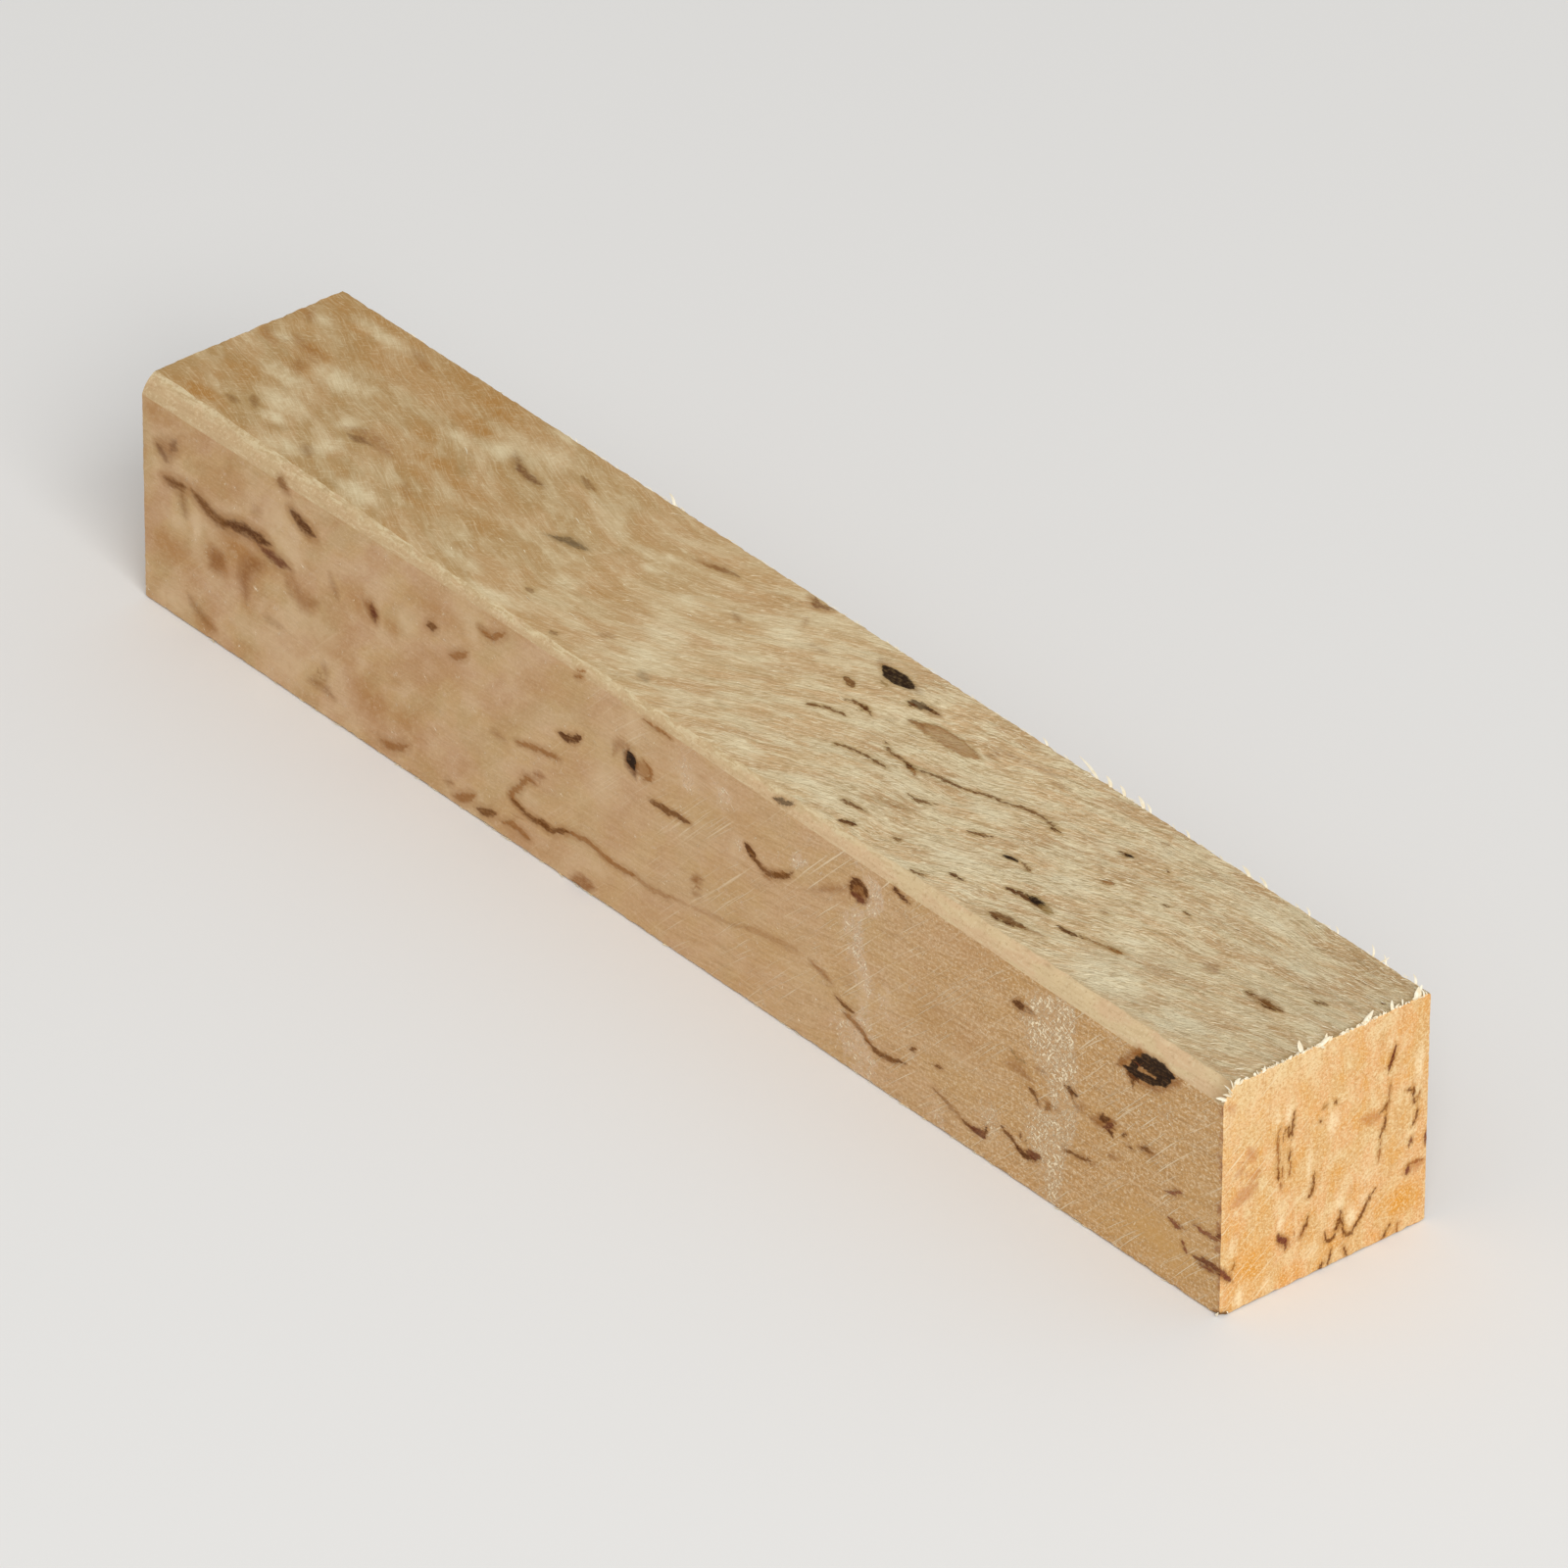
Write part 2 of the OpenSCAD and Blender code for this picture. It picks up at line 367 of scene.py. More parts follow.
# top face: u from the far end, v from the right edge
topMarks = [
    ("softPlum", 0.4, [(28.0, 5.0), (29.5, 5.9), (31.2, 6.3), (33.0, 6.4)]),
    ("dimPlum", 0.26, [(28.9, 5.5), (29.9, 6.1), (31.4, 6.3), (32.6, 6.3)]),
    ("dimPlum", 0.32, [(17.5, 13.2), (18.6, 13.1), (19.6, 12.9)]),
    ("softRust", 0.7, [(17.0, 12.6), (19.0, 12.2), (21.4, 12.6)]),
    ("dim", 0.3, [(8.2, 15.5), (9.5, 16.3)]),
    ("dim", 0.26, [(6.9, 16.9), (8.1, 17.1)]),
    ("softOlive", 0.5, [(12.6, 17.1), (13.5, 16.6)]),
    ("softPlum", 0.35, [(16.7, 17.0), (17.7, 17.5)]),
    ("softOlive", 0.5, [(21.6, 19.1), (22.6, 18.8)]),
    ("softRust", 0.4, [(3.4, 7.4), (5.4, 7.8), (7.2, 7.7)]),
    ("softRust", 0.35, [(0.2, 3.9), (2.2, 4.9)]),
    ("softRust", 0.35, [(0.3, 8.4), (2.8, 9.2)]),
    ("softRust", 0.55, [(6.6, 9.6), (7.4, 10.2)]),
    ("softRust", 0.35, [(11.2, 1.6), (13.7, 2.4)]),
    ("softOlive", 0.5, [(27.0, 9.6), (27.8, 10.0)]),
    ("softUmber", 0.2, [(26.0, 14.5), (27.4, 15.4)]),
    ("dim", 0.28, [(33.9, 3.1), (34.8, 3.4), (35.9, 3.6)]),
    ("dim", 0.24, [(49.8, 3.8), (51.4, 3.2), (52.7, 3.0)]),
    ("softRust", 0.4, [(49.0, 4.0), (51.8, 3.0)]),
    ("dimPlum", 0.3, [(58.9, 0.3), (59.6, 0.9), (60.2, 0.7), (60.9, 0.4)]),
    ("softRust", 0.5, [(58.5, 0.5), (59.8, 1.0), (61.0, 0.6)]),
    ("softOlive", 0.25, [(56.6, 2.2), (58.2, 2.4)]),
    ("softRust", 0.2, [(60.7, 2.8), (61.3, 3.5)]),
    ("ash", 0.34, [(39.0, 10.4), (40.2, 9.9), (42.0, 9.6)]),
    ("softSlate", 0.5, [(38.8, 10.5), (40.6, 9.8), (42.2, 9.5)]),
    ("dim", 0.26, [(43.8, 16.6), (44.3, 16.5)]),
    ("softUmber", 0.3, [(52.4, 16.4), (53.3, 16.0)]),
    ("dim", 0.24, [(49.7, 19.1), (50.1, 19.1)]),
    ("softSlate", 0.45, [(58.6, 17.5), (59.6, 17.9)]),
    ("softUmber", 0.3, [(56.6, 6.6), (57.8, 7.0)]),
    ("softOlive", 0.3, [(44.0, 7.3), (44.6, 7.8)]),
    ("softUmber", 0.22, [(63.6, 4.9), (65.4, 4.6)]),
    ("softOlive", 0.3, [(65.2, 15.4), (66.6, 15.9)]),
    ("black", 0.7, [(70.1, 2.6), (71.4, 2.8), (73.0, 2.8)]),
    ("softUmber", 0.5, [(69.0, 2.2), (70.2, 2.6)]),
    ("softPlum", 0.4, [(72.6, 2.9), (74.2, 2.8)]),
    ("slate", 0.46, [(74.8, 4.2), (75.6, 4.0), (76.2, 3.8)]),
    ("dark", 0.16, [(76.0, 3.7), (77.4, 3.7)]),
    ("dark", 0.2, [(74.8, 4.3), (75.6, 4.3)]),
    ("softUmber", 0.5, [(75.8, 3.8), (77.6, 3.8)]),
    ("olive", 0.16, [(71.2, 4.1), (72.2, 4.2)]),
    ("umber", 0.32, [(69.1, 5.8), (70.2, 6.1)]),
    ("tan", 0.74, [(77.9, 5.7), (79.4, 5.4), (81.4, 5.4), (83.6, 5.4)]),
    ("faint", 0.12, [(76.9, 5.9), (78.4, 5.1), (80.4, 4.7), (82.4, 4.8), (84.5, 5.3)]),
    ("ghost", 0.12, [(77.4, 6.0), (79.0, 6.1), (81.0, 6.1), (83.0, 5.9), (84.3, 5.4)]),
    ("dimPlum", 0.28, [(76.8, 5.9), (78.2, 5.6)]),
    ("softUmber", 0.3, [(84.4, 4.5), (84.9, 4.3)]),
    ("umber", 0.14, [(71.2, 7.8), (72.3, 7.4), (73.4, 7.4), (74.3, 7.7)]),
    ("dark", 0.2, [(72.9, 7.4), (73.5, 7.5)]),
    ("umber", 0.2, [(70.0, 10.5), (70.7, 10.0)]),
    ("umber", 0.13, [(70.3, 10.2), (71.6, 9.6), (73.2, 9.3)]),
    ("softOlive", 0.3, [(75.0, 7.1), (76.4, 7.1)]),
    ("umber", 0.1, [(77.9, 9.3), (79.2, 9.9), (80.4, 9.8), (81.8, 10.0), (83.5, 9.5), (85.3, 9.2),
                     (87.0, 8.8), (88.7, 8.1), (90.0, 7.8), (91.3, 7.3), (93.0, 6.9), (94.7, 7.0), (95.9, 7.2)]),
    ("dark", 0.2, [(81.4, 10.0), (82.1, 10.0)]),
    ("dark", 0.19, [(95.0, 7.3), (95.5, 7.2)]),
    ("rust", 0.12, [(81.8, 10.0), (82.8, 10.5)]),
    ("umber", 0.1, [(75.6, 12.4), (77.0, 11.9), (79.0, 11.6), (80.9, 11.6)]),
    ("umber", 0.18, [(75.6, 12.4), (76.0, 12.3)]),
    ("umber", 0.14, [(84.6, 12.6), (85.8, 12.6), (86.9, 12.0)]),
    ("umber", 0.15, [(91.4, 12.4), (92.2, 12.0), (93.1, 11.7)]),
    ("black", 0.19, [(95.5, 12.5), (96.9, 12.3)]),
    ("umber", 0.13, [(97.4, 12.2), (98.4, 12.4)]),
    ("umber", 0.15, [(81.8, 17.0), (83.0, 16.9), (84.2, 16.7)]),
    ("dark", 0.24, [(84.2, 18.9), (85.2, 18.5)]),
    ("faint", 0.14, [(83.0, 15.0), (84.8, 14.7), (86.4, 14.1)]),
    ("umber", 0.13, [(88.4, 17.4), (89.1, 17.2)]),
    ("umber", 0.17, [(92.8, 19.2), (93.9, 18.9)]),
    ("dark", 0.13, [(95.0, 17.3), (96.2, 17.1)]),
    ("faint", 0.14, [(90.2, 3.2), (91.8, 2.9)]),
    ("softUmber", 0.25, [(84.0, 3.4), (87.0, 2.9), (90.0, 2.3)]),
    ("black", 0.2, [(101.2, 5.4), (101.9, 5.2)]),
    ("umber", 0.12, [(100.6, 5.5), (101.4, 5.4)]),
    ("faint", 0.12, [(101.8, 2.2), (102.4, 2.1)]),
    ("umber", 0.12, [(104.8, 4.3), (105.2, 4.5)]),
    ("rust", 0.3, [(103.0, 9.0), (103.6, 8.8)]),
    ("umber", 0.14, [(110.1, 7.1), (110.5, 7.1)]),
    ("umber", 0.12, [(108.4, 7.7), (108.7, 7.6)]),
    ("dark", 0.26, [(99.1, 15.2), (100.6, 15.0), (102.0, 14.9), (103.2, 15.0)]),
    ("black", 0.3, [(101.2, 14.7), (102.6, 14.6)]),
    ("olive", 0.3, [(102.6, 14.8), (103.8, 14.9)]),
    ("dark", 0.17, [(105.5, 15.6), (106.7, 15.6), (107.9, 15.3)]),
    ("rust", 0.11, [(108.0, 15.2), (109.6, 14.7), (111.2, 14.4)]),
    ("umber", 0.14, [(110.2, 14.5), (111.0, 14.4)]),
    ("umber", 0.36, [(100.9, 18.3), (102.2, 18.0), (104.0, 17.8)]),
    ("dark", 0.1, [(101.0, 18.6), (102.4, 18.4), (103.6, 18.1)]),
    ("faint", 0.14, [(103.8, 17.8), (106.0, 17.4)]),
    ("softRust", 0.55, [(116.7, 10.5), (117.5, 10.5)]),
    ("umber", 0.16, [(121.2, 10.6), (122.0, 10.5)]),
    ("umber", 0.28, [(122.6, 10.5), (123.6, 10.4), (124.5, 10.3)]),
    ("dark", 0.1, [(122.4, 10.7), (123.6, 10.7), (124.6, 10.4)]),
    ("softRust", 0.55, [(121.6, 10.6), (124.6, 10.3)]),
    ("umber", 0.16, [(125.2, 7.5), (126.2, 7.2)]),
    ("umber", 0.14, [(128.7, 3.7), (128.9, 3.7)]),
    ("faint", 0.14, [(105.9, 11.8), (106.8, 11.6)]),
]

# near end: u from the left edge, v down from the top
endMarks = [
    ("dark", 0.14, [(16.95, 3.2), (16.75, 4.1), (16.4, 4.9), (16.3, 5.3)]),
    ("dark", 0.17, [(16.7, 4.0), (16.5, 4.7)]),
    ("rust", 0.07, [(16.5, 6.4), (16.4, 7.8), (16.1, 8.9)]),
    ("umber", 0.09, [(16.4, 8.0), (16.0, 8.5), (15.4, 8.8)]),
    ("umber", 0.12, [(16.15, 9.2), (16.0, 10.0), (15.6, 11.0)]),
    ("rust", 0.09, [(15.7, 11.3), (15.55, 12.3), (15.5, 13.0)]),
    ("umber", 0.08, [(18.1, 7.8), (18.5, 7.9), (18.9, 8.1)]),
    ("umber", 0.09, [(18.9, 7.6), (18.85, 8.6), (19.05, 9.3), (19.3, 9.1)]),
    ("rust", 0.07, [(19.5, 8.4), (19.3, 9.0)]),
    ("umber", 0.09, [(19.3, 9.8), (19.2, 10.7), (18.8, 11.3)]),
    ("plum", 0.15, [(18.8, 12.3), (18.6, 12.9)]),
    ("plum", 0.22, [(18.5, 14.9), (18.4, 15.4)]),
    ("rust", 0.14, [(18.3, 14.7), (19.2, 14.7), (19.9, 14.8)]),
    ("softRust", 0.5, [(18.4, 15.2), (19.8, 15.0)]),
    ("plum", 0.14, [(20.2, 12.4), (20.3, 13.6)]),
    ("umber", 0.11, [(6.95, 5.0), (6.85, 6.0), (6.75, 7.2)]),
    ("umber", 0.1, [(6.4, 6.0), (6.45, 7.0)]),
    ("umber", 0.09, [(6.6, 8.2), (6.55, 9.0)]),
    ("rust", 0.07, [(6.7, 9.4), (6.6, 10.6)]),
    ("rust", 0.08, [(5.6, 5.8), (5.35, 6.4), (5.45, 8.0), (5.5, 10.2)]),
    ("umber", 0.08, [(5.5, 9.6), (5.5, 10.4)]),
    ("rust", 0.08, [(5.75, 10.8), (5.8, 11.3)]),
    ("olive", 0.11, [(9.8, 5.85), (10.2, 5.7)]),
    ("umber", 0.1, [(11.0, 5.7), (11.2, 6.0)]),
    ("umber", 0.1, [(9.55, 6.8), (9.65, 7.0)]),
    ("umber", 0.09, [(9.1, 11.3), (9.0, 12.2), (8.85, 12.9)]),
    ("umber", 0.14, [(9.0, 12.5), (8.75, 13.2), (8.5, 13.3)]),
    ("umber", 0.12, [(8.6, 15.0), (8.3, 15.8), (7.8, 16.6)]),
    ("softRust", 0.3, [(8.3, 16.0), (7.6, 16.6)]),
    ("plum", 0.26, [(5.8, 15.8), (6.3, 16.3)]),
    ("plum", 0.14, [(5.6, 15.4), (5.7, 16.1)]),
    ("plum", 0.12, [(6.3, 16.4), (6.4, 17.1)]),
    ("softPlum", 0.5, [(5.9, 15.9), (6.5, 16.6)]),
    ("umber", 0.12, [(10.3, 17.3), (10.5, 18.1), (11.1, 18.1), (11.4, 17.5)]),
    ("umber", 0.14, [(11.3, 17.5), (11.8, 16.6), (12.0, 17.2)]),
    ("softUmber", 0.3, [(11.7, 16.6), (11.7, 17.4)]),
    ("umber", 0.09, [(11.85, 15.8), (11.8, 16.6)]),
    ("umber", 0.13, [(12.0, 17.2), (12.3, 18.3), (12.8, 18.5), (13.3, 18.0), (14.0, 17.1), (14.7, 16.0), (15.2, 15.5)]),
    ("umber", 0.1, [(10.95, 19.0), (10.8, 19.7), (10.6, 20.4)]),
    ("umber", 0.15, [(10.1, 19.9), (9.8, 20.4)]),
    ("umber", 0.1, [(12.1, 19.2), (12.35, 19.8), (12.5, 20.4)]),
    ("umber", 0.11, [(16.8, 19.4), (16.4, 19.9), (16.0, 20.4)]),
    ("rust", 0.08, [(17.6, 19.5), (17.5, 20.3)]),
    ("plum", 0.21, [(-0.4, 15.9), (0.2, 16.6), (0.9, 17.5)]),
    ("softPlum", 0.4, [(-0.4, 16.0), (0.9, 17.4)]),
    ("rust", 0.09, [(1.3, 16.1), (1.1, 16.8)]),
    ("softRust", 0.36, [(1.4, 8.2), (1.9, 7.9)]),
    ("softRust", 0.5, [(2.6, 6.6), (3.0, 7.3)]),
    ("softRust", 0.42, [(2.9, 9.2), (3.5, 8.8)]),
    ("softRust", 0.55, [(14.0, 8.6), (15.2, 9.0)]),
    ("softRust", 0.7, [(1.4, 10.6), (3.0, 10.0)]),
    ("softRust", 0.3, [(0.4, 1.6), (0.9, 2.2)]),
    # painted shade: a dark mark in the hollow of the broken lower corner
    ("slate", 0.16, [(0.35, 20.2), (0.75, 20.4)]),
]

# worn edge: u from the far end, v down from the top
wornMarks = [
    ("slate", 0.2, [(77.9, 0.6), (78.8, 0.5), (79.7, 0.3)]),
    ("rust", 0.1, [(54.4, 0.7), (55.0, 0.5)]),
]

# soft patches: centre, half lengths and strength, as amber, pale or shimmering wood
leftAmber = [
    (1.6, 2.4, 2.0, 1.4, 0.5), (8.0, 19.3, 2.0, 0.8, 0.5), (24.5, 13.8, 2.5, 0.8, 0.4), (9.6, 12.4, 2.4, 1.8, 0.6),
    (27.6, 7.6, 2.2, 1.4, 0.5), (31.6, 8.0, 1.4, 0.9, 0.5), (3.4, 14.2, 3.4, 1.4, 0.5), (12.8, 10.3, 3.4, 1.0, 0.85),
    (12.2, 11.0, 2.6, 2.2, 0.55), (29.0, 16.0, 2.6, 2.0, 0.6), (33.4, 16.0, 2.4, 1.8, 0.5), (38.4, 3.8, 3.4, 1.4, 0.4),
    (38.6, 8.4, 2.2, 1.2, 0.3), (96.4, 10.4, 2.6, 2.6, 0.35), (123.0, 17.1, 5.2, 2.6, 0.8), (102.0, 2.4, 6.0, 0.9, 0.3),
    (20.6, 10.4, 2.2, 1.2, 0.4), (116.6, 9.9, 1.6, 1.2, 0.4), (118.8, 18.8, 5.0, 1.0, 0.4), (127.4, 12.0, 2.4, 3.4, 0.3), (100.6, 11.0, 4.0, 1.6, 0.3), (48.0, 19.6, 4.0, 0.9, 0.4),
    (85.0, 5.0, 2.0, 0.8, 0.4), (78.0, 13.2, 3.5, 0.7, 0.3), (106.8, 10.2, 2.2, 1.0, 0.35), (12.0, 3.0, 2.0, 4.0, 0.25),
]
leftPale = [
    (3.6, 19.2, 2.6, 1.2, 0.5), (18.2, 17.6, 2.6, 2.2, 0.5), (22.4, 13.0, 2.5, 1.5, 0.35), (4.4, 11.4, 1.8, 0.8, 0.3),
    (7.0, 11.2, 0.8, 1.8, 0.7), (17.4, 5.6, 2.4, 2.6, 0.5), (33.4, 6.4, 1.4, 1.1, 0.5), (57.4, 9.4, 1.6, 2.4, 0.4),
    (61.0, 2.6, 0.9, 1.5, 0.6), (67.6, 3.8, 1.6, 1.2, 0.6), (73.4, 7.4, 0.8, 1.8, 0.5), (88.6, 12.2, 0.9, 2.6, 0.6),
    (91.0, 12.2, 1.4, 1.0, 0.4), (57.0, 17.6, 1.8, 1.0, 0.5), (13.6, 17.0, 3.0, 1.2, 0.3), (81.0, 14.6, 2.6, 0.7, 0.4),
    (41.6, 3.6, 0.9, 1.2, 0.5), (19.4, 7.6, 2.0, 1.4, 0.4), (71.6, 3.4, 1.4, 1.4, 0.4), (101.0, 13.0, 4.0, 0.8, 0.3),
    (48.4, 13.0, 1.0, 0.6, 0.3), (48.8, 15.4, 1.4, 0.7, 0.3), (21.0, 13.4, 3.0, 1.4, 0.3), (70.8, 13.7, 1.4, 0.4, 0.4),
]
# shimmering bands: rows of v, left edge, right edge and strength
leftShimmer = [
    [(1.6, 109.5, 113.0, 0.9), (3.0, 107.2, 113.1, 0.9), (5.0, 106.9, 113.2, 0.9), (7.0, 107.0, 113.6, 0.9),
     (8.6, 108.4, 113.7, 0.8), (10.0, 109.2, 113.7, 0.6), (11.5, 109.8, 113.6, 0.75), (13.0, 107.6, 113.3, 0.8),
     (14.5, 106.9, 112.8, 0.8), (16.0, 107.6, 112.0, 0.9), (18.0, 109.2, 111.9, 0.9), (20.6, 109.6, 111.6, 0.9)],
    [(1.4, 86.4, 88.0, 0.4), (2.0, 88.4, 90.6, 0.7), (3.5, 88.9, 91.2, 0.8), (5.0, 88.6, 90.4, 0.7),
     (6.0, 86.5, 88.4, 0.6), (7.2, 85.6, 88.6, 0.7), (8.6, 86.2, 88.6, 0.6), (10.0, 86.6, 89.2, 0.7),
     (12.0, 87.8, 89.6, 0.6), (14.0, 88.3, 89.5, 0.5), (15.2, 86.6, 90.2, 0.5), (17.0, 84.6, 89.4, 0.5),
     (18.6, 85.4, 90.6, 0.5), (20.3, 86.4, 90.0, 0.5)],
    [(14.6, 102.8, 103.6, 0.6), (15.4, 102.6, 104.4, 0.8), (17.0, 101.6, 104.2, 0.8), (18.0, 103.2, 104.0, 0.3)],
    [(1.8, 116.8, 117.6, 0.6), (3.0, 117.2, 118.2, 0.5), (4.4, 117.4, 119.4, 0.6), (5.6, 118.4, 119.6, 0.5),
     (6.6, 119.0, 119.6, 0.3)],
    [(4.5, 122.4, 123.9, 0.5), (5.5, 122.2, 124.3, 0.5), (6.5, 123.0, 124.5, 0.5)],
    [(3.9, 80.0, 82.3, 0.4), (4.6, 79.2, 82.0, 0.6), (5.5, 79.4, 81.0, 0.5)],
    [(2.4, 66.8, 68.4, 0.5), (3.6, 67.0, 68.6, 0.8), (4.9, 66.8, 68.2, 0.6)],
    [(2.2, 70.6, 72.6, 0.4), (3.4, 70.8, 72.8, 0.6), (4.6, 71.4, 72.6, 0.4)],
    [(6.2, 73.2, 74.4, 0.4), (7.4, 73.6, 74.8, 0.6), (8.4, 73.8, 74.6, 0.4)],
    [(17.6, 97.0, 98.0, 0.4), (19.4, 96.4, 98.6, 0.5), (20.4, 96.2, 98.2, 0.4)],
    [(10.4, 90.6, 91.6, 0.3), (12.0, 90.0, 91.8, 0.45), (13.5, 90.4, 91.6, 0.3)],
]
topAmber = [
    (20.0, 1.2, 8.0, 1.6, 0.6), (12.0, 3.2, 12.0, 2.4, 0.35), (3.0, 6.2, 4.0, 1.4, 0.45), (29.2, 11.2, 2.8, 0.8, 0.6),
    (28.0, 15.4, 2.4, 0.6, 0.5), (125.0, 1.4, 5.0, 1.4, 0.5), (106.0, 5.0, 4.0, 1.2, 0.2), (126.0, 12.6, 3.0, 1.4, 0.18),
    (22.8, 4.7, 3.0, 1.0, 0.9), (22.0, 1.8, 4.4, 1.6, 0.85), (5.8, 2.8, 1.6, 0.8, 0.9), (5.8, 7.6, 3.4, 0.8, 0.85),
    (1.0, 4.5, 1.3, 0.6, 0.8), (7.0, 9.9, 1.7, 1.0, 0.7), (1.6, 8.9, 1.4, 0.5, 0.8), (13.0, 2.2, 1.6, 0.5, 0.8),
    (5.0, 18.3, 3.4, 1.2, 0.9), (4.8, 13.8, 2.6, 1.8, 0.6), (24.6, 10.6, 2.6, 1.2, 0.75), (26.6, 15.2, 1.4, 0.7, 0.6),
    (21.0, 8.6, 1.6, 0.7, 0.6), (47.4, 12.9, 1.6, 0.6, 0.5), (44.0, 12.0, 1.6, 1.2, 0.5), (34.4, 13.4, 2.4, 1.4, 0.5),
    (8.0, 0.8, 6.0, 0.9, 0.6), (57.6, 2.6, 3.0, 1.2, 0.4), (30.4, 14.6, 2.4, 1.6, 0.4), (16.4, 8.4, 1.4, 0.7, 0.4),
    (1.6, 1.6, 2.4, 1.4, 0.5), (9.6, 5.4, 2.4, 1.2, 0.4), (50.6, 10.8, 3.4, 2.4, 0.25), (25.0, 12.6, 2.6, 0.9, 0.5),
]
topPale = [
    (8.2, 2.0, 2.8, 0.8, 0.6), (10.6, 8.8, 3.0, 1.4, 0.6), (10.6, 14.2, 2.4, 1.1, 0.6), (30.4, 3.0, 2.6, 1.8, 0.5),
    (113.2, 17.2, 3.6, 1.9, 0.9), (121.0, 16.8, 2.4, 1.0, 0.8), (120.4, 18.4, 2.2, 0.6, 0.6), (114.6, 2.8, 3.4, 1.0, 0.7),
    (6.2, 2.0, 1.8, 0.8, 0.5), (2.9, 8.2, 1.5, 0.6, 0.6), (2.8, 4.1, 1.5, 0.6, 0.55), (7.0, 11.6, 2.4, 1.0, 0.7),
    (11.6, 16.1, 1.3, 0.7, 0.8), (16.1, 12.2, 1.1, 1.2, 0.5), (15.0, 18.3, 2.4, 0.9, 0.65), (17.6, 15.6, 1.1, 1.6, 0.6),
    (26.9, 5.6, 1.5, 1.5, 0.6), (24.6, 17.9, 2.8, 1.2, 0.6), (23.0, 6.9, 1.8, 0.5, 0.6), (47.6, 7.5, 1.0, 0.5, 0.6),
    (52.9, 8.0, 1.1, 0.6, 0.8), (55.6, 12.6, 2.6, 1.4, 0.7), (57.4, 15.6, 2.8, 1.2, 0.7), (61.4, 5.4, 2.6, 1.4, 0.7),
    (44.6, 14.0, 1.4, 0.7, 0.6), (37.0, 17.9, 3.0, 0.6, 0.6), (42.4, 19.2, 2.0, 0.7, 0.6), (12.2, 8.6, 2.0, 1.2, 0.5),
    (83.6, 12.4, 2.4, 1.0, 0.5), (93.6, 15.6, 3.0, 1.2, 0.7), (80.0, 17.6, 3.0, 0.9, 0.5), (101.6, 11.4, 1.8, 1.2, 0.7),
    (110.6, 12.8, 2.4, 1.0, 0.7), (97.4, 17.8, 1.6, 0.6, 0.5), (90.6, 9.8, 2.4, 0.7, 0.5), (127.6, 9.6, 1.0, 0.6, 0.5),
    (121.6, 5.4, 2.2, 0.7, 0.6), (103.0, 2.8, 2.0, 0.9, 0.5), (99.6, 5.8, 1.4, 0.8, 0.5), (118.8, 8.1, 0.7, 0.5, 0.6),
    (71.6, 18.4, 1.6, 0.8, 0.5), (63.4, 17.8, 1.8, 0.9, 0.5), (28.4, 0.5, 2.0, 0.5, 0.5), (92.0, 19.4, 3.6, 0.6, 0.5),
]
endAmber = [
    (2.8, 16.8, 1.9, 2.4, 1.0), (17.8, 17.4, 2.1, 1.7, 1.0), (11.4, 12.0, 0.9, 0.8, 0.4), (4.0, 12.6, 0.9, 0.9, 0.4),
    (8.4, 5.4, 1.0, 1.1, 0.5), (0.8, 1.4, 0.8, 0.7, 0.5), (6.6, 19.4, 1.6, 0.8, 0.5), (18.4, 2.0, 1.4, 1.6, 0.35),
    (14.6, 8.8, 1.0, 0.6, 0.4), (9.3, 7.8, 0.6, 0.4, 0.4), (2.6, 7.4, 1.4, 1.6, 0.3), (11.0, 18.8, 1.6, 0.6, 0.4),
]
endPale = [
    (6.45, 5.1, 0.26, 1.2, 1.0), (5.35, 4.8, 0.24, 0.9, 0.8), (8.7, 10.6, 0.2, 1.9, 0.9), (1.8, 19.5, 0.45, 0.9, 0.9), (4.5, 19.3, 0.4, 0.7, 0.6),
    (19.35, 6.0, 0.32, 1.6, 1.0), (10.9, 7.5, 0.6, 1.1, 0.7), (5.75, 14.6, 0.25, 0.9, 0.9), (12.9, 16.9, 0.5, 0.9, 0.9),
    (14.1, 15.8, 0.5, 0.8, 0.5), (8.75, 12.4, 0.22, 0.7, 0.6), (11.7, 15.1, 0.4, 0.9, 0.7), (19.0, 8.4, 0.18, 0.5, 0.6),
    (1.0, 14.6, 0.5, 0.8, 0.5), (14.6, 13.2, 1.2, 1.6, 0.25), (16.5, 2.6, 0.3, 0.5, 0.5), (9.0, 18.2, 0.7, 0.8, 0.4),
]


